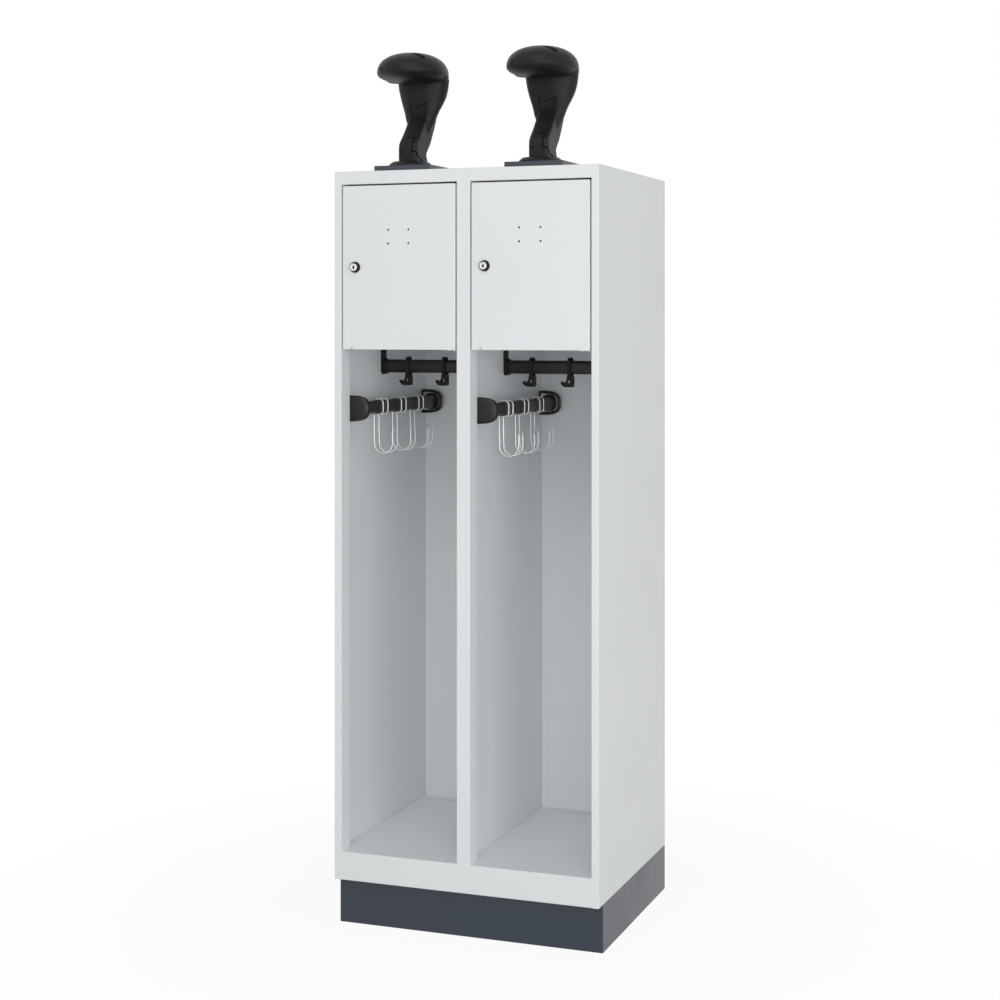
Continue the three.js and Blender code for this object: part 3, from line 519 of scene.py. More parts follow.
# %% Floor
FLOOR_TOP, FLOOR_REAR = 161.0, 247.1
FLOOR_FLANGE, FLOOR_RAIL_LIP = 20.0, -215.0
WIDE_FROM = RETURN_REAR + GAP
NARROW_TO = WIDE_FROM - 2 * STEP
HAIR = 0.01


def floor_reach(face):
    y, z = face
    if z > FLOOR_TOP - HAIR and y > WIDE_FROM - STEP:
        return -INNER_SIDE, INNER_SIDE
    if FLOOR_TOP - BEND_OUTSIDE - STEP / 2 > z > BODY_LOW + BEND_OUTSIDE + STEP / 2:
        return -RAIL_FACE_HALF, RAIL_FACE_HALF
    return -STILE_INNER, STILE_INNER


floor_line = [(FLOOR_REAR, FLOOR_TOP), (WIDE_FROM, FLOOR_TOP), (NARROW_TO, FLOOR_TOP),
              (FRONT, FLOOR_TOP), (FRONT, FLOOR_TOP - BEND_OUTSIDE - STEP),
              (FRONT, BODY_LOW + BEND_OUTSIDE + STEP), (FRONT, BODY_LOW),
              (FLOOR_RAIL_LIP, BODY_LOW)]
floor = piece_from("floor_deck", folded("x", floor_line, floor_reach))
weld(floor, *flanges((-INNER_SIDE, INNER_SIDE), FLOOR_REAR, (WIDE_FROM, FLOOR_REAR - 0.6),
                     (FLOOR_TOP - FLOOR_FLANGE, FLOOR_TOP - SHEET / 2)))

# %% Ventilation slots
WALLS = {"left": -299.0, "right": 0.5}
COMPARTMENT = 298.5
SLOT_COUNT, SLOT_PITCH, SLOT_LENGTH, SLOT_WIDTH, SLOT_Y = 14, 17.6, 13.0, 5.0, 225.0


def stadium(a, b, width, height, steps):
    """A slot outline that stands upright, or lies flat where it is wider than tall."""
    radius = min(width, height) / 2
    points = []
    for end in (1, -1):
        for i in range(steps + 1):
            turn = pi * i / steps
            along = end * (abs(height - width) / 2 + radius * sin(turn))
            across = end * radius * cos(turn)
            points.append((a + across, b + along) if height > width else (a + along, b - across))
    return points


slots = []
for wall in WALLS.values():
    first = wall + COMPARTMENT / 2 - (SLOT_COUNT - 1) * SLOT_PITCH / 2
    for i in range(SLOT_COUNT):
        outline = stadium(first + i * SLOT_PITCH, SLOT_Y, SLOT_LENGTH, SLOT_WIDTH, 6)
        slots.append(prism("z", outline, FLOOR_TOP - 6, FLOOR_TOP + 4))
carve(floor, *slots)
dress(floor, PAINT, "carcass", "floor_panel")

# %% [markdown]
# ### Centre post, partition and back
#
# The post is a hat section: a 30 mm face that reaches over the bends of both rails, two returns
# and two small lips that leave room for the partition. The flat partition and back are right as
# CAD sheets, so they only get rounded edges and the paint.

# %% Centre post
POST_EDGE = 15.0
PARTITION_ROOM = 0.8


def post_reach(face):
    if face.y < FRONT + HAIR and abs(face.x) < POST_EDGE - BEND_OUTSIDE + HAIR:
        return FLOOR_TOP - BEND_OUTSIDE, TOP_RAIL_LOW + BEND_OUTSIDE
    return FLOOR_TOP, TOP_RAIL_LOW


post_line = [(-PARTITION_ROOM, RETURN_REAR), (-POST_EDGE, RETURN_REAR), (-POST_EDGE, FRONT),
             (-POST_EDGE + BEND_OUTSIDE + STEP, FRONT), (POST_EDGE - BEND_OUTSIDE - STEP, FRONT),
             (POST_EDGE, FRONT), (POST_EDGE, RETURN_REAR), (PARTITION_ROOM, RETURN_REAR)]
post = piece_from("post", folded("z", post_line, post_reach))
carve(post, cam_slot(POST_EDGE))
dress(post, PAINT, "carcass", "centre_post")
for node in ("back_panel", "centre_partition"):
    refinish(node, PAINT, 0.15)

# %% [markdown]
# ### Plinth
#
# The plinth is a box of dark painted sheet, 28 mm behind the front, with a flange turned inwards
# at the top that carries the cabinet. Its section is drawn once as inset and height, and each
# point of it becomes a rectangle with rounded corners.

# %% Plinth
PLINTH_FRONT, PLINTH_TOP = FRONT + 28, BODY_LOW - GAP
PLINTH_FLANGE, PLINTH_CORNER = 30, 2.2
LEAST_CORNER = 0.4


def rounded_rectangle(x, y, radius, steps=5):
    points = []
    for k, (cx, cy) in enumerate(((x[1], y[1]), (x[0], y[1]), (x[0], y[0]), (x[1], y[0]))):
        centre_x = cx - radius * (1 if cx == x[1] else -1)
        centre_y = cy - radius * (1 if cy == y[1] else -1)
        for i in range(steps + 1):
            turn = pi / 2 * (k + i / steps)
            points.append((centre_x + radius * cos(turn), centre_y + radius * sin(turn)))
    return points


def framed(section, x, y, corner, axis="z"):
    """Rings of a frame: each (inset, height) of the section becomes one rounded rectangle."""
    rings = []
    for inset, height in section:
        shape = rounded_rectangle((x[0] + inset, x[1] - inset), (y[0] + inset, y[1] - inset),
                                  max(corner - inset, LEAST_CORNER))
        rings.append([PLACE[axis](a, b, height) for a, b in shape])
    return rings


pairs = folded_pairs([(PLINTH_FLANGE, PLINTH_TOP), (0, PLINTH_TOP), (0, 0)])
section = [face for face, under in pairs] + [under for face, under in reversed(pairs)]
rings = framed(section, (-HALF_WIDTH, HALF_WIDTH), (PLINTH_FRONT, REAR), PLINTH_CORNER)
plinth = piece_from("plinth_ring", skin(rings, loop=True))
dress(plinth, DARK, "carcass", "plinth")

# %% [markdown]
# ### Shelves
#
# A shelf closes each lockable box from below. Its deck turns down into an apron behind the door's
# lower edge, which runs on at the hinge side into a tongue that carries the lower pin.

# %% Shelves
DECK_TOP, DECK_REAR, DECK_FLANGE = 1262.0, 245.8, 17.0
APRON_Y, APRON_LOW = -226.0, 1247.6
OPENING_HALF = 134.2
TONGUE_TOP, TONGUE_WIDTH = 1245.7, 22.0


for side, centre in OPENINGS.items():
    inner = (WALLS[side] + GAP, WALLS[side] + COMPARTMENT - GAP)

    def reach(face):
        y, z = face
        if z > DECK_TOP - HAIR and y > WIDE_FROM - STEP:
            return inner
        if z > APRON_LOW - HAIR:
            return centre - OPENING_HALF, centre + OPENING_HALF
        return centre + OPENING_HALF - TONGUE_WIDTH, centre + OPENING_HALF

    line = [(DECK_REAR, DECK_TOP), (WIDE_FROM, DECK_TOP), (NARROW_TO, DECK_TOP),
            (APRON_Y, DECK_TOP), (APRON_Y, APRON_LOW), (APRON_Y, APRON_LOW - STEP),
            (APRON_Y, TONGUE_TOP), (FRONT + SHEET, TONGUE_TOP)]
    shelf = piece_from(side + "_box_shelf", folded("x", line, reach))
    weld(shelf, *flanges(inner, DECK_REAR, (WIDE_FROM, DECK_REAR - 0.5),
                         (DECK_TOP - SHEET / 2, DECK_TOP + DECK_FLANGE)))
    carve(shelf, pin_hole(side, TONGUE_TOP - 8, TONGUE_TOP + 2))
    dress(shelf, PAINT, "carcass", side + "_shelf")

# %% [markdown]
# ### Doors
#
# A door is a shallow pan: a front sheet whose four edges turn back 18 mm, with two more narrow
# lips behind. Along the bottom runs a fine fold line above a strip that leans out a little, and
# near the lock side a small relief notch shows where the folds meet. Four small holes take a
# label holder, one larger hole takes the lock.

# %% Door pan
DOOR_HALF, DOOR_LOW, DOOR_TOP = 131.0, 1246.0, 1598.5
DOOR_BACK, DOOR_CORNER = FRONT + 18, 1.6
LIP_INSET, LIP_WIDTH, LIP_SHORTER = 0.5, 11.5, 0.6
LOCK_OFFSET, LOCK_HOLE = -101.0, 9.3
LABEL_Z, LABEL_HALF_X, LABEL_HALF_Z, LABEL_RADIUS = 1487.9, 23.5, 14.65, 2.2
FOLD_LINE_Z = 1250.5
# Depth behind the face and height above the fold line
FOLD_GROOVE = [(-1, 0.6), (0, 0.55), (0.7, 0.3), (0.7, -0.4), (0, -3.6), (-1, -3.6)]
NOTCH_OFFSET, NOTCH_WIDTH = 19.4, 3.4


def bend_arc(radius, inset, y):
    """Inset and depth along a quarter bend that starts on the flange and ends on the face."""
    turns = [pi / 2 * k / BEND_STEPS for k in range(BEND_STEPS + 1)]
    return [(inset + radius * (1 - cos(turn)), y + radius * (1 - sin(turn))) for turn in turns]


def face_hole(x, z, radius, steps):
    return prism("y", circle(x, z, radius, steps), FRONT - 3, FRONT + 4)


for side, centre in OPENINGS.items():
    left, right = centre - DOOR_HALF, centre + DOOR_HALF
    outside = [(0, DOOR_BACK)] + bend_arc(BEND_OUTSIDE, 0, FRONT)
    inside = [(SHEET, DOOR_BACK)] + bend_arc(INSIDE_BEND, SHEET, FRONT + SHEET)
    rings = framed(outside[::-1] + inside, (left, right), (DOOR_LOW, DOOR_TOP), DOOR_CORNER, "y")
    door = piece_from(side + "_door_pan", skin(rings))
    for x in (left + LIP_INSET, right - LIP_INSET - LIP_WIDTH):
        weld(door, block((x, x + LIP_WIDTH), (DOOR_BACK - SHEET, DOOR_BACK),
                         (DOOR_LOW + LIP_SHORTER, DOOR_TOP - LIP_SHORTER)))
    holes = [face_hole(centre + a * LABEL_HALF_X, LABEL_Z + b * LABEL_HALF_Z, LABEL_RADIUS, 28)
             for a in (-1, 1) for b in (-1, 1)]
    holes.append(face_hole(centre + LOCK_OFFSET, LOCK_Z, LOCK_HOLE, 40))
    holes += [pin_hole(side, z - 3, z + 3, DOOR_PIN_HOLE) for z in (DOOR_LOW, DOOR_TOP)]
    carve(door, *holes)
    groove = [(FRONT + depth, FOLD_LINE_Z + height) for depth, height in FOLD_GROOVE]
    carve(door, prism("x", groove, left - 1, right + 1))
    notch = left + NOTCH_OFFSET
    carve(door, block((notch, notch + NOTCH_WIDTH), (FRONT - 2, FRONT + 6),
                      (DOOR_LOW - 1, FOLD_LINE_Z)))
    dress(door, PAINT, side + "_door_leaf", side + "_door")

# %% [markdown]
# ## Locks and hinge pins
#
# A cam lock shows a black collar round a bright plug. Both are profiles of radius and depth, spun
# round the lock's axis. The keyway is a tall cut with a black insert in it, which is painted
# shade: it stands in for the shade of a deep keyway, because a bare metal hole would shine as
# brightly as the face around it. The cam, the nut and the upper pin keep their CAD shapes.

# %% Turned parts
def turned(profile, place, steps=48, loop=False):
    """A profile of (radius, place along the axis), spun about a horizontal or upright axis."""
    rings = [[place(radius * cos(2 * pi * i / steps), radius * sin(2 * pi * i / steps), along)
              for i in range(steps)] for radius, along in profile]
    return skin(rings, loop)


COLLAR = [(8.0, -7.4), (8.3, -7.9), (8.8, -8.0), (9.4, -7.5), (10.1, -6.2), (10.8, -4.4),
          (11.5, -2.4), (12.0, -0.9), (12.0, -0.5), (11.8, -0.3), (9.0, -0.3), (9.0, 20.3),
          (8.0, 20.3)]
PLUG = [(7.5, -9.4), (7.7, -9.3), (7.8, -9.1), (7.8, 20.3), (3.0, 20.3), (3.0, 22.9), (5.0, 22.9),
        (5.0, 24.8), (4.7, 25.1)]
LOWER_PIN = [(3.4, 1243.4), (4.0, 1243.7), (4.0, 1244.5), (2.5, 1244.5), (2.5, 1257.6),
             (2.0, 1258.0)]
KEYWAY = [(0.9, 5.3), (-0.9, 5.3), (-1.1, 2.6), (-3.0, 0.6), (-3.0, 0.0), (-0.5, -5.3),
          (0.5, -5.3), (3.0, 0.0), (3.0, 0.6), (1.1, 2.6)]
# Front and rear ends, measured from the door's face
# The second pair places the black insert in the keyway, which is painted shade.
KEYWAY_CUT, PAINTED_SHADE_ENDS = (-11, -5.5), (-8.7, -5.6)
CAD_PARTS = (("_lock_cam", ZINC, 0.3), ("_lock_nut", ZINC, 0.35), ("_hinge_pin_upper", BLACK, 0.15))


for side, centre in OPENINGS.items():
    x = centre + LOCK_OFFSET
    place = lambda a, b, t: (x + a, FRONT + t, LOCK_Z + b)
    collar = piece_from(side + "_lock_collar", turned(COLLAR, place, loop=True))
    dress(collar, BLACK, side + "_door_leaf", side + "_lock_housing")
    plug = piece_from(side + "_lock_core", turned(PLUG, place))
    outline = [(x + a, LOCK_Z + b) for a, b in KEYWAY]
    keyway, painted_shade_insert = [prism("y", outline, FRONT + low, FRONT + high)
                       for low, high in (KEYWAY_CUT, PAINTED_SHADE_ENDS)]
    carve(plug, keyway)
    dress(plug, BRIGHT, side + "_lock_core", side + "_lock_plug")
    # A black insert fills the keyway: painted shade where a deep keyway would be dark.
    painted_shade_insert = piece_from(side + "_keyway_painted_shade", painted_shade_insert)
    dress(painted_shade_insert, BLACK, side + "_lock_core")
    for node, material, bevel in CAD_PARTS:
        refinish(side + node, material, bevel)
    upright = lambda a, b, t: (centre + PIN_OFFSET + a, PIN_Y + b, t)
    pin = piece_from(side + "_lower_pin", turned(LOWER_PIN, upright, 32))
    dress(pin, BLACK, "carcass", side + "_hinge_pin_lower")

# %% [markdown]
# ## Coat rail
#
# The rail is an oval tube between two cups, each on a strap that hangs from the shelf. Rings at
# several places along X give the tube its wall and the cup its rounded lip.

# %% Rail tube
RAIL_Z = 1205.0
RAIL_HEIGHT, RAIL_WIDTH, RAIL_WALL = 30.0, 15.0, 1.2
RAIL_ENDS = (4.1, 294.4)


def oval_tube(section, width, height, steps=14):
    """A tube along X round the rail's line: each row gives the place along X and the inset."""
    return skin([[(x, a, b) for a, b in stadium(0, RAIL_Z, width - 2 * inset, height - 2 * inset,
                                                steps)] for x, inset in section], loop=True)


def make_rail(side):
    low, high = [WALLS[side] + end for end in RAIL_ENDS]
    section = [(low, 0), (high, 0), (high, RAIL_WALL), (low, RAIL_WALL)]
    rail = piece_from(side + "_rail_tube", oval_tube(section, RAIL_WIDTH, RAIL_HEIGHT))
    dress(rail, TUBE, "carcass", side + "_coat_rail")


# %% Rail brackets
CUP_SECTION = [(2.6, -0.3), (2.6, -2.9), (10.8, -2.9), (11.5, -2.65), (11.8, -2.1), (11.8, -1.1),
               (11.5, -0.5), (11.0, -0.3)]
STRAP, STRAP_TOP, STRAP_LOW, STRAP_HALF = (0.3, 3.8), 1260.7, 1185.6, 12.5
STRAP_END, STRAP_EDGE = 8.0, 0.8


def inset_outline(outline, distance):
    """An outline moved inwards by the same distance everywhere."""
    following = outline[1:] + outline[:1]
    area = sum(a[0] * b[1] - b[0] * a[1] for a, b in zip(outline, following))
    turn = 1 if area > 0 else -1
    moved = []
    for i, place in enumerate(outline):
        here = Vector(place)
        before = (here - Vector(outline[i - 1])).normalized()
        after = (Vector(following[i]) - here).normalized()
        normals = [Vector((-way.y, way.x)) * turn for way in (before, after)]
        total = normals[0] + normals[1]
        moved.append(tuple(here + total * (2 * distance / max(total.length_squared, 1.0))))
    return moved


def cushioned(axis, outline, low, high, edge, steps=3):
    """A prism with rounded edges: its outline shrinks towards both ends."""
    turns = [pi / 2 * k / steps for k in range(steps + 1)]
    rows = [(low + edge * (1 - sin(turn)), edge * (1 - cos(turn))) for turn in turns[::-1]]
    rows += [(high - edge * (1 - sin(turn)), edge * (1 - cos(turn))) for turn in turns]
    return skin([[PLACE[axis](a, b, place) for a, b in inset_outline(outline, inset)]
                 for place, inset in rows])


def make_rail_bracket(side, end):
    wall = WALLS[side]
    x_at = (lambda x: wall + x) if end == "a" else (lambda x: wall + COMPARTMENT - x)
    outline = [(STRAP_HALF, STRAP_TOP), (-STRAP_HALF, STRAP_TOP)]
    for i in range(17):
        turn = pi + pi * i / 16
        outline.append((STRAP_HALF * cos(turn), STRAP_LOW + STRAP_END + STRAP_END * sin(turn)))
    strap = cushioned("x", outline, *sorted(x_at(x) for x in STRAP), STRAP_EDGE)
    cup = oval_tube([(x_at(x), inset) for x, inset in CUP_SECTION], RAIL_WIDTH, RAIL_HEIGHT)
    bracket = piece_from(side + "_rail_cup_" + end, strap)
    weld(bracket, cup)
    dress(bracket, BLACK, "carcass", side + "_rail_bracket_" + end)


for side in OPENINGS:
    make_rail(side)
    for end in "ab":
        make_rail_bracket(side, end)

# %% [markdown]
# ### Sliding hooks
#
# Each hook is one moulding: a ring that runs on the rail, with a shallow crease round its middle,
# and a flat hook below with an eye in it. Cutting the corners of its outline twice rounds it.

# %% Sliding hooks
HOOK_PLACES = (64.5, 153.8, 243.1)
EACH_HOOK = [(side, number) for side in OPENINGS for number in (1, 2, 3)]
# Shares of the width, from the right, and of the height, from below
HOOK_SHARES = [(0, .93), (0, .07), (.07, 0), (.634, 0), (.74, .03), (.909, .17), (.97, .27),
               (1, .36), (.985, .42), (.94, .445), (.88, .43), (.80, .35), (.74, .27), (.68, .25),
               (.63, .30), (.60, .40), (.53, .55), (.494, .65), (.485, .93)]
HOOK_RIGHT, HOOK_LOW, HOOK_WIDTH, HOOK_HEIGHT = 7.2, 1161.3, 28.2, 28.7
HOOK_DEPTH, HOOK_EDGE = (-7, 7), 0.7
EYE_X, EYE_Z, EYE_RADIUS = -3.2, 1173.0, 4.1
RING_SECTION = [(-4.35, 0.9), (-4.05, 0.35), (-3.4, 0), (-0.7, 0), (0, 0.55), (0.7, 0), (3.4, 0),
                (4.05, 0.35), (4.35, 0.9), (4.35, 2.6), (3.95, 3.0), (-3.95, 3.0), (-4.35, 2.6)]
RING_SIZE, RING_BORE = (21.8, 44.0), (18.8, 33.8)


def corners_cut(outline, share):
    softer = []
    for i, (a, b) in enumerate(outline):
        c, d = outline[(i + 1) % len(outline)]
        softer.append((a + (c - a) * share, b + (d - b) * share))
        softer.append((c + (a - c) * share, d + (b - d) * share))
    return softer


for side, number in EACH_HOOK:
    x = WALLS[side] + HOOK_PLACES[number - 1]
    outline = [(x + HOOK_RIGHT - a * HOOK_WIDTH, HOOK_LOW + b * HOOK_HEIGHT)
               for a, b in HOOK_SHARES]
    outline = corners_cut(corners_cut(outline, 0.12), 0.2)
    hook = piece_from(side + "_rail_hook_" + str(number),
                      cushioned("y", outline, *HOOK_DEPTH, HOOK_EDGE))
    carve(hook, prism("x", stadium(0, RAIL_Z, *RING_BORE, 14), x - 12, x + 12))
    carve(hook, prism("y", circle(x + EYE_X, EYE_Z, EYE_RADIUS, 28), -9, 9))
    weld(hook, oval_tube([(x + along, inset) for along, inset in RING_SECTION], *RING_SIZE))
    node = side + "_sliding_hook_" + str(number)
    dress(hook, BLACK, node, node)

# %% [markdown]
# ## Side bar
#
# The bar along the left wall is a rounded oblong that swells along a curve into its caps. At the
# places of the wire hooks it is a touch thicker, as low pads.

# %% Hook bar
BAR_Z = 1116.3
# Near side, far side, height and corner radius: along the bar, and where it has flared
BAR_PLAIN, BAR_FLARED = (25.5, 44.5, 30.5, 7.0), (8.0, 45.0, 39.0, 16.0)
BAR_ENDS, FLARE, FLARE_STEPS = (-200.9, 217.5), 36.0, 12
WIRE_PLACES = (-88.0, 12.5, 113.0)
PAD_DROP = 1.1
PAD_STEPS = ((-32, PAD_DROP), (-30.5, 0.0), (16, 0.0), (17.5, PAD_DROP))


def bar_ring(wall, y, flare, thin):
    near, far, tall, corner = [a + (b - a) * flare for a, b in zip(BAR_PLAIN, BAR_FLARED)]
    half = tall / 2 - thin
    ring = rounded_rectangle((wall + near + thin, wall + far - thin),
                             (BAR_Z - half, BAR_Z + half), corner, 6)
    return [(x, y, z) for x, z in ring]


def make_bar(side):
    low, high = BAR_ENDS
    rows = []
    for k in range(FLARE_STEPS + 1):
        share = 1 - k / FLARE_STEPS
        inset = FLARE * (1 - share)
        rows += [(y, share ** 2, PAD_DROP * (1 - share)) for y in (low + inset, high - inset)]
    rows += [(place + step, 0.0, drop) for place in WIRE_PLACES for step, drop in PAD_STEPS]
    rings = [bar_ring(WALLS[side], *row) for row in sorted(rows)]
    bar = piece_from(side + "_side_bar", skin(rings))
    dress(bar, TUBE, "carcass", side + "_hook_bar", bevel=0.5)


# %% [markdown]
# The caps are D-shaped mouldings, open towards the bar, with a steel bracket inside. The closed
# end rolls over, and the thick rim is rounded too.

# %% Bar caps
CAP_HEIGHT, CAP_NEAR, CAP_SQUARENESS = 57.0, 4.0, 3.3
# Reach into the room, place of the closed end, and the way from there to the bar
CAPS = {"front": (57.0, -206.0, 1), "rear": (55.5, 228.0, -1)}
# Inset from the outline and depth behind the closed end
CAP_ROWS = [(20.0, 0.0), (13.0, 0.35), (8.0, 0.95), (4.6, 1.8), (2.2, 2.9), (0.7, 4.2), (0.0, 5.6),
            (0.0, 12.6), (0.4, 13.5), (1.4, 14.0), (5.2, 14.0), (5.8, 13.7), (6.1, 13.1),
            (6.1, 3.0), (6.6, 2.5)]
BRACKET_NEAR, BRACKET_SHORTER, BRACKET_HEIGHT, BRACKET_EDGE = 0.6, 6.8, 43.4, 0.35
BRACKET_PLATE, BRACKET_FLANGE = (2.8, 4.8), (2.9, 22.8)
FLANGE_THICK, FLANGE_HALF = 2.0, 13


def bent(value, power):
    """The sine or cosine of a superellipse: power 2 is an ellipse, more is squarer."""
    return (1 if value > 0 else -1) * abs(value) ** (2 / power)


def d_outline(wall, near, reach, height, steps=24):
    """Flat at the wall, and half of a rounded oblong towards the room."""
    points = [(wall + near, BAR_Z - height / 2), (wall + near, BAR_Z + height / 2)]
    for i in range(1, steps):
        turn = pi / 2 - pi * i / steps
        points.append((wall + near + bent(cos(turn), CAP_SQUARENESS) * (reach - near),
                       BAR_Z + bent(sin(turn), CAP_SQUARENESS) * height / 2))
    return points


def make_cap(side, end):
    wall = WALLS[side]
    reach, closed, way = CAPS[end]
    rings = []
    for inset, depth in CAP_ROWS:
        outline = d_outline(wall, CAP_NEAR, reach - inset, CAP_HEIGHT - 2 * inset)
        rings.append([(x, closed + way * depth, z) for x, z in outline])
    cap = piece_from(side + "_cap_" + end, skin(rings))
    dress(cap, TUBE, "carcass", side + "_bar_cap_" + end)
    plate, flange = [sorted(closed + way * depth for depth in depths)
                     for depths in (BRACKET_PLATE, BRACKET_FLANGE)]
    bracket = piece_from(side + "_bracket_" + end, cushioned(
        "y", d_outline(wall, BRACKET_NEAR, reach - BRACKET_SHORTER, BRACKET_HEIGHT), *plate,
        BRACKET_EDGE))
    weld(bracket, block((wall + GAP, wall + GAP + FLANGE_THICK), flange,
                        (BAR_Z - FLANGE_HALF, BAR_Z + FLANGE_HALF)))
    dress(bracket, ZINC, "carcass", side + "_bar_bracket_" + end, bevel=0.2)


for side in OPENINGS:
    make_bar(side)
    for end in CAPS:
        make_cap(side, end)

# %% [markdown]
# ### Wire double hooks
#
# One wire makes a double hook: it wraps round the bar, drops, turns up in a wide bend and crosses
# over at the tip to come back the same way. A round section is swept along that path.

# %% Swept wire
def swept(path, radius, sides=12):
    places = [Vector(point) for point in path]
    rings, across = [], None
    for i, here in enumerate(places):
        ahead = places[min(i + 1, len(places) - 1)] - places[max(i - 1, 0)]
        ahead.normalize()
        if across is None:
            across = Vector((0, 1, 0)) if abs(ahead.y) < 0.9 else Vector((1, 0, 0))
        across = (across - ahead * across.dot(ahead)).normalized()
        up = ahead.cross(across)
        rings.append([tuple(here + (across * a + up * b) * radius)
                      for a, b in circle(0, 0, 1, sides)])
    return rings


def arc(x, z, radius, start, end, steps):
    turns = [radians(start + (end - start) * i / steps) for i in range(steps + 1)]
    return [(x + radius * cos(turn), z + radius * sin(turn)) for turn in turns]


# %% Wire hooks
WIRE_RADIUS, WIRE_END = 1.35, 0.7
HALF_SPREAD = 13.0
STRAND_PATH = ([(27.7, 1099.05)] + arc(37.5, 1108.05, 9, -90, 0, 8)
               + arc(37.5, 1124.55, 9, 0, 90, 8) + arc(32.5, 1124.55, 9, 90, 180, 8)
               + arc(47.3, 1035, 22.2, 180, 360, 24))
TIP_X, TIP_Z = 69.5, 1054.2


def narrowed(ring, centre):
    middle = Vector(centre)
    return [tuple(middle + (Vector(point) - middle) * WIRE_END) for point in ring]


for side, number in EACH_HOOK:
    wall, y = WALLS[side], WIRE_PLACES[number - 1]
    path = [(wall + x, y - HALF_SPREAD, z) for x, z in STRAND_PATH]
    path += [(wall + TIP_X, y + a, b) for a, b in arc(0, TIP_Z, HALF_SPREAD, 180, 0, 20)]
    path += [(wall + x, y + HALF_SPREAD, z) for x, z in reversed(STRAND_PATH)]
    rings = swept(path, WIRE_RADIUS)
    rings = [narrowed(rings[0], path[0])] + rings + [narrowed(rings[-1], path[-1])]
    hook = piece_from(side + "_bag_hook_" + str(number), skin(rings))
    node = side + "_wire_hook_" + str(number)
    dress(hook, WIRE, node, node)

# %% [markdown]
# ## Helmet holders
#
# A holder stands on a dark plate on the roof: a round foot, a curved arm and a dome for the
# helmet. The arm is two lofts: a slim strut with flat sides that leans back, and a bowl that opens
# upwards out of it. A smooth curve through their rows fills in the sections between.

# %% Sections of strut and bowl
HOLDER_Y, HOLDER_X = -172.0, 150.0
STRUT_HALF, STRUT_SQUARENESS = 21.9, 10
# Height, front, rear
STRUT_LINE = [(19, -29.5, 39), (30, -29.5, 35), (41, -29.5, 30.5), (50, -29.5, 37),
              (58, -28.5, 45), (64, -25, 51), (71, -18.5, 56), (82, -7, 63), (95, 5, 71),
              (109, 17, 79), (118, 24, 84), (126, 30, 87)]
# Height, half width, front, rear, squareness
STRUT_ROWS = [(z, STRUT_HALF, front, rear, STRUT_SQUARENESS) for z, front, rear in STRUT_LINE]
BOWL_ROWS = [(77, 19, 25, 37, 2.2), (84, 21.8, 24, 43, 2.2), (92, 24.3, 24, 53, 2.2),
             (100, 27, 24.5, 60, 2.2), (109, 30, 25, 66, 2.2), (118, 33.8, 25, 68, 2.2),
             (128, 36.9, 26.5, 71, 2.2), (138, 40.7, 29, 75, 2.2), (150, 46.4, 30, 83, 2.15),
             (165, 52.6, 30, 91.5, 2.1), (180, 56.8, 28, 95, 2.1), (195.4, 59.3, 27.5, 95.5, 2.1)]
TOP_LIFT, LIFT_START = 0.22, 10.0
NEARLY = 1e-6


def row_at(rows, z):
    """Half width, front, rear and squareness at a height, on a smooth curve through the rows."""
    last = len(rows) - 1
    k = max(i for i in range(last) if rows[i][0] <= z + NEARLY)
    before, a, b, after = rows[max(k - 1, 0)], rows[k], rows[k + 1], rows[min(k + 2, last)]
    span = b[0] - a[0]
    t = (z - a[0]) / span
    values = []
    for i in range(1, 5):
        slope_a = (b[i] - before[i]) / (b[0] - before[0]) * span
        slope_b = (after[i] - a[i]) / (after[0] - a[0]) * span
        values.append((2 * t ** 3 - 3 * t * t + 1) * a[i] + (t ** 3 - 2 * t * t + t) * slope_a
                      + (3 * t * t - 2 * t ** 3) * b[i] + (t ** 3 - t * t) * slope_b)
    return values


def lofted(rows, steps, lift=0.0, count=64):
    """Rings from the lowest row to the highest. The top ring may rise towards the rear."""
    rings = []
    low, high = rows[0][0], rows[-1][0]
    for k in range(steps + 1):
        z = low + (high - low) * k / steps
        half_width, front, rear, power = row_at(rows, min(z, high - NEARLY))
        middle, depth = (front + rear) / 2, (rear - front) / 2
        ring = []
        for i in range(count):
            turn = 2 * pi * (i + 0.5) / count
            y = middle + bent(sin(turn), power) * depth
            rise = lift * max(0.0, y - LIFT_START) * ((z - low) / (high - low)) ** 3
            ring.append((bent(cos(turn), power) * half_width, y, z + rise))
        rings.append(ring)
    return rings


STRUT = skin(lofted(STRUT_ROWS, 40))
BOWL = skin(lofted(BOWL_ROWS, 44, TOP_LIFT))
print("strut and bowl:", len(STRUT[0]), len(BOWL[0]), "points")

# %% [markdown]
# The foot and the arm meet along a seam: level at the front, down behind a tongue, and then in a
# long curve to the rear. Both are cut from the same loft, with a narrow gap between them, so that
# the strut's surface runs on across the seam.

# %% Seam between foot and arm
SEAM = [(-60, 41.7), (-28.6, 41.7), (-24, 34.7), (-17, 29.7), (-8, 26.5), (5, 24.2), (8, 15.7),
        (-60, 15.7)]
TONGUE_HALF, TONGUE_Z, TONGUE_BACK = 9.5, (18, 73.7), -8.0
SEAM_GAP = 2.2
GAP_SHARE_Y, GAP_SHARE_Z, GAP_SHARE_LEFT = 1.5, 1.2, 1 / 8


def holder_places(side):
    x = -HOLDER_X if side == "left" else HOLDER_X
    return lambda p: (x + p[0], HOLDER_Y + p[1], BODY_TOP + p[2])


def moved(solid, place):
    points, faces = solid
    return [place(point) for point in points], faces


def foot_region(place, grow=0.0):
    """What belongs to the foot: all below the seam, and the tongue."""
    seam = [(y + grow * GAP_SHARE_Y, z + grow * GAP_SHARE_Z) for y, z in SEAM]
    tongue = block((-TONGUE_HALF - grow * GAP_SHARE_LEFT, TONGUE_HALF + grow),
                   (-60, TONGUE_BACK + grow), (TONGUE_Z[0], TONGUE_Z[1] + grow))
    return moved(prism("x", seam, -60, 60), place), moved(tongue, place)


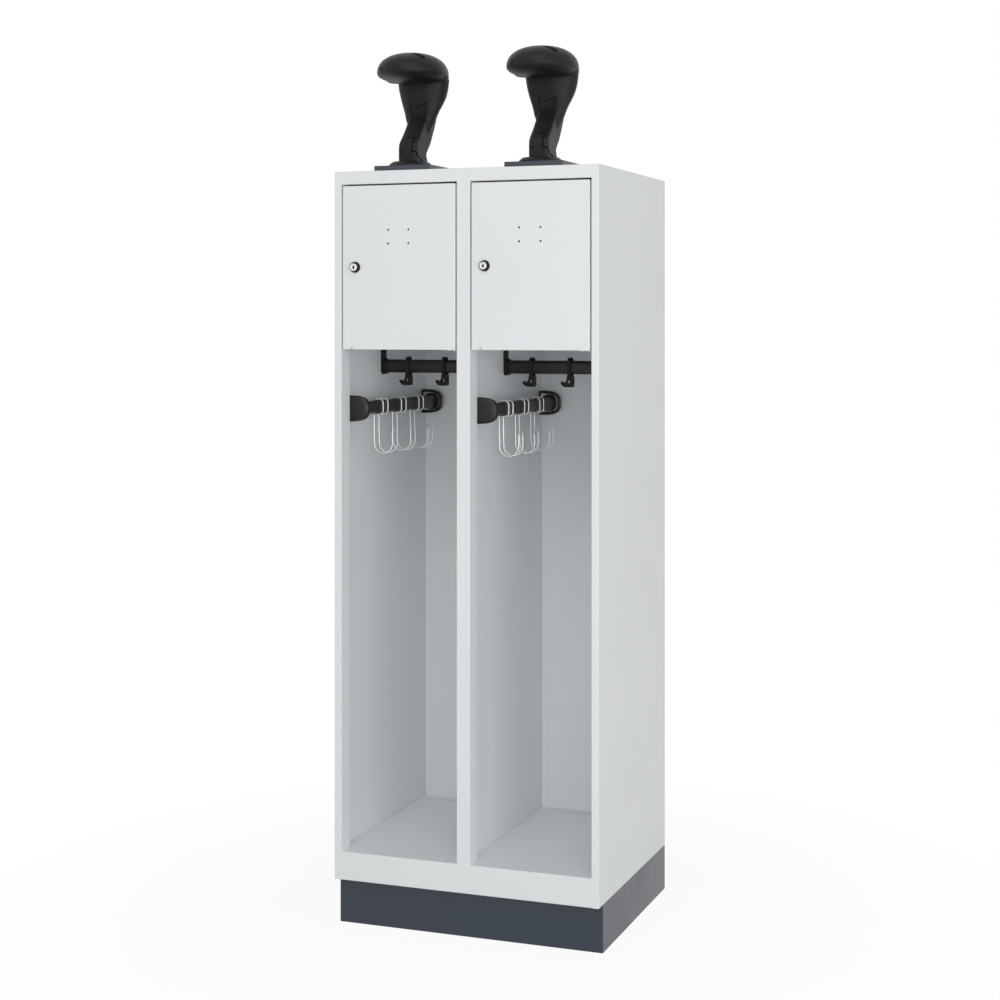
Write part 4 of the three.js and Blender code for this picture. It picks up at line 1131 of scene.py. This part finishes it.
# %% Foot
DISC = [(46.2, 12.3), (47.0, 12.6), (47.0, 14.8), (46.7, 15.3), (40.2, 21.3), (39.4, 21.7)]
DISC_FORWARD = 11.0


def make_foot(side):
    place = holder_places(side)
    foot = piece_from(side + "_holder_base", moved(STRUT, place))
    below_seam, tongue = foot_region(place)
    region = piece_from("region", below_seam)
    weld(region, tongue)
    combine(foot, region, "INTERSECT")
    weld(foot, turned(DISC, lambda a, b, t: place((a, b - DISC_FORWARD, t)), 72))
    dress(foot, BLACK, "carcass", side + "_holder_foot")


# %% [markdown]
# The front of the strut runs on up into the bowl as a sunk panel with a sagging upper edge. The
# cutter for it leans back with the strut and curves until it stands upright.

# %% Arm
PANEL_X, PANEL_COLUMNS = (-19.4, 21.4), 16
PANEL_LOW, PANEL_EDGE_TOP, PANEL_SAG = 112.0, 158.5, 11.0
PANEL_RISE, PANEL_DRAFT, PANEL_AHEAD = 6.9, 9.0, 0.25
CUTTER_DEPTH = 12


def panel_depth(z):
    """Just ahead of the strut's front, then on in a curve that ends upright."""
    strut_top = STRUT_ROWS[-1][0]
    lean = row_at(STRUT_ROWS, min(z, strut_top - 1e-3))[1] - PANEL_AHEAD
    share = max(z - strut_top, 0.0) / (PANEL_EDGE_TOP - strut_top)
    return lean + PANEL_RISE * (2 * share - share ** 2)


def panel_cutter(steps=24):
    left, right = PANEL_X
    rings = []
    for i in range(steps + 1):
        row = []
        for k in range(PANEL_COLUMNS + 1):
            x = left + (right - left) * k / PANEL_COLUMNS
            top = PANEL_EDGE_TOP - PANEL_SAG * sin(pi * k / PANEL_COLUMNS)
            z = PANEL_LOW + (top - PANEL_LOW) * i / steps
            row.append((x, panel_depth(z), z))
        ahead = [(x - PANEL_DRAFT * (right - x) / (right - left), y - CUTTER_DEPTH, z)
                 for x, y, z in row]
        rings.append(ahead + row[::-1])
    return skin(rings)


def make_arm(side):
    place = holder_places(side)
    arm = piece_from(side + "_holder_arm", moved(BOWL, place))
    weld(arm, moved(STRUT, place))
    carve(arm, moved(panel_cutter(), place))
    for cutter in foot_region(place, SEAM_GAP):
        carve(arm, cutter)
    carve(arm, moved(block((-70, 70), (-80, 80), (10, DISC[-1][1] + GAP)), place))
    dress(arm, BLACK, "carcass", side + "_holder_stem")


# %% [markdown]
# The dome is longer behind than in front, and its underside rises towards the rear, as the top of
# the bowl does. Its rings first spread to the widest line and then close over the top. A round
# hole with a plug in it and a slot on top come afterwards.

# %% Dome
DOME_LOW, DOME_HEIGHT = 195.7, 63.6
DOME_HALF, DOME_FRONT, DOME_REAR = 76.0, 82.5, 112.0
DOME_WIDEST, DOME_TILT = 0.285, 0.02
ROUND_FRONT, ROUND_REAR, ROUND_SIDE = 2.0, 1.74, 2.3
# The underside: flat near the bowl, and squarer behind than in front
FLAT_SHARE, BEHIND_START, BEHIND_SPAN, BEHIND_SQUARER = 0.25, 18, 26, 10
LOWER = (0.3, 0.5, 0.6, 0.68, 0.76, 0.84, 0.9, 0.945, 0.97, 0.985, 0.995, 0.999)
UPPER = (1.0, 0.999, 0.995, 0.98, 0.955, 0.92, 0.88, 0.83, 0.77, 0.7, 0.62, 0.53, 0.43, 0.32,
         0.2, 0.1, 0.03)
DOME_POINTS = 72


def roundness(share, power=ROUND_SIDE):
    return (1 - share ** power) ** (1 / power) if share < 1 else 0.0


def dome_outline(i):
    turn = 2 * pi * i / DOME_POINTS
    power, reach = (ROUND_REAR, DOME_REAR) if sin(turn) > 0 else (ROUND_FRONT, DOME_FRONT)
    y = bent(sin(turn), power) * reach
    widest = DOME_LOW + DOME_HEIGHT * DOME_WIDEST
    return bent(cos(turn), power) * DOME_HALF, y, widest - DOME_TILT * y


def dome_ring(share, upper):
    ring = []
    for i in range(DOME_POINTS):
        x, y, z = dome_outline(i)
        if upper:
            height = z + (DOME_LOW + DOME_HEIGHT - z) * roundness(share)
        else:
            low = min(DOME_LOW + TOP_LIFT * max(0.0, y * share - LIFT_START), z - 3)
            behind = min(max((y - BEHIND_START) / BEHIND_SPAN, 0.0), 1.0)
            flat = FLAT_SHARE * (1 - behind)
            spread = max(share - flat, 0.0) / (1 - flat)
            height = low + (z - low) * (1 - roundness(spread, 2.0 + BEHIND_SQUARER * behind))
        ring.append((x * share, y * share, height))
    return ring


# %% Hole, plug and slot of the dome
HOLE_X, HOLE_Z, HOLE_RADIUS, HOLE_Y = -44, DOME_LOW + 23.5, 5.0, (-85, -58)
STOPPER_RADIUS, STOPPER_Y = 3.6, (-65.8, -57)
SLOT_PLACE, SLOT_TURN, SLOT_SIZE = Vector((34, -46)), radians(-6), (31, 14)
SLOT_Z = (DOME_LOW + DOME_HEIGHT - 24, DOME_LOW + DOME_HEIGHT + 3)


def make_dome(side):
    place = holder_places(side)
    rings = [dome_ring(share, False) for share in LOWER]
    rings += [dome_ring(share, True) for share in UPPER]
    dome = piece_from(side + "_holder_crown", moved(skin(rings), place))
    hole = prism("y", circle(HOLE_X, HOLE_Z, HOLE_RADIUS, 28), *HOLE_Y)
    stopper = prism("y", circle(HOLE_X, HOLE_Z, STOPPER_RADIUS, 28), *STOPPER_Y)
    turn = Matrix.Rotation(SLOT_TURN, 2)
    outline = [turn @ Vector(corner) + SLOT_PLACE for corner in stadium(0, 0, *SLOT_SIZE, 6)]
    carve(dome, moved(hole, place), moved(prism("z", outline, *SLOT_Z), place))
    weld(dome, moved(stopper, place))
    dress(dome, BLACK, "carcass", side + "_holder_dome")


for side in OPENINGS:
    refinish(side + "_holder_plate", PAD, 1.2)
    make_foot(side)
    make_arm(side)
    make_dome(side)

# %% [markdown]
# ## Camera, light and floor
#
# The camera is level, with a small shift so that upright edges stay upright. The light is a pale
# sky with four large soft lamps: one in front, one to the right, one high up that reaches the
# floor panels, and one far to the right for the side panel. Together they are as strong as makes
# the paint render about as its colour is written.

# %% Camera
CAMERA_PLACE = (1.4569, -3.8502, 1.3011)
CAMERA_TURN = (90.0, 0.0, 20.2)
LENS = 66.35
camera_data = bpy.data.cameras.new("Camera")
camera_data.sensor_width, camera_data.lens = 36.0, LENS
camera_data.shift_x, camera_data.shift_y = -0.0212, -0.1761
camera = bpy.data.objects.new("Camera", camera_data)
camera.location = CAMERA_PLACE
camera.rotation_euler = [radians(angle) for angle in CAMERA_TURN]
bpy.context.scene.collection.objects.link(camera)
bpy.context.scene.camera = camera
print("camera at", CAMERA_PLACE)

# %% Sky
SKY_LEVEL = 0.30


def background_ray(tree):
    """One for camera, mirror and glass rays, zero for soft light."""
    rays = tree.nodes.new("ShaderNodeLightPath").outputs
    total = rays["Is Camera Ray"]
    for label in ("Is Glossy Ray", "Is Transmission Ray"):
        total = calculate(tree, "MAXIMUM", total, rays[label])
    return total


world = bpy.data.worlds.new("Sky")
bpy.context.scene.world = world
world.use_nodes = True
tree = world.node_tree
back = tree.nodes["Background"]
back.inputs["Color"].default_value = (1, 1, 1, 1)
feed(tree, back.inputs["Strength"], remap(tree, background_ray(tree), 0, 1, SKY_LEVEL, 1.0))
print("sky level:", SKY_LEVEL)

# %% Lamps
# Place, height of the aim, width and height in metres, and power in watts
LAMPS = {
    "Front lamp": ((2.2, -6.5, 0.9), 0.7, (4.0, 3.0), 99.0),
    "Side lamp": ((5.2, -5.0, 1.2), 0.8, (3.0, 3.0), 101.0),
    "High lamp": ((0.8, -4.4, 5.2), 0.3, (4.0, 3.0), 77.0),
    "Edge lamp": ((6.0, -1.5, 1.2), 0.8, (3.0, 3.0), 38.0),
}
for name, (place, aim, size, power) in LAMPS.items():
    data = bpy.data.lights.new(name, "AREA")
    data.shape, data.size, data.size_y, data.energy = "RECTANGLE", *size, power
    lamp = bpy.data.objects.new(name, data)
    lamp.location = place
    lamp.rotation_euler = (Vector((0, 0, aim)) - Vector(place)).to_track_quat("-Z", "Y").to_euler()
    bpy.context.scene.collection.objects.link(lamp)
print("lamps:", len(LAMPS))

# %% [markdown]
# Soft light bounces off a plain pale floor. The camera sees it mixed with white, less so close to
# the locker, so that a faint shadow stays and its edge is lost in the white behind it.

# %% Floor
FLOOR_HALF = 14.0
floor_mesh = bpy.data.meshes.new("Studio floor")
corners = [(-1, -1), (1, -1), (1, 1), (-1, 1)]
floor_mesh.from_pydata([(x * FLOOR_HALF, y * FLOOR_HALF, 0) for x, y in corners], [],
                       [(0, 1, 2, 3)])
studio = bpy.data.objects.new("Studio_floor", floor_mesh)
bpy.context.scene.collection.objects.link(studio)
material = bpy.data.materials.new("studio_floor")
material.use_nodes = True
tree = material.node_tree
tree.nodes.remove(tree.nodes["Principled BSDF"])
pale = tree.nodes.new("ShaderNodeBsdfDiffuse")
pale.inputs["Color"].default_value = (0.90, 0.90, 0.90, 1)
white = tree.nodes.new("ShaderNodeEmission")
distance = tree.nodes.new("ShaderNodeVectorMath")
distance.operation = "LENGTH"
tree.links.new(object_places(tree), distance.inputs[0])
share = remap(tree, distance.outputs["Value"], 0.5, 1.3, 0.93, 1.0)
blend = tree.nodes.new("ShaderNodeMixShader")
feed(tree, blend.inputs["Fac"], calculate(tree, "MULTIPLY", background_ray(tree), share))
tree.links.new(pale.outputs[0], blend.inputs[1])
tree.links.new(white.outputs[0], blend.inputs[2])
tree.links.new(blend.outputs[0], tree.nodes["Material Output"].inputs["Surface"])
floor_mesh.materials.append(material)

# %% [markdown]
# Last, the view transform is set to Standard, so that a colour comes out as it was written.

# %% Finish
bpy.context.scene.view_settings.view_transform = "Standard"
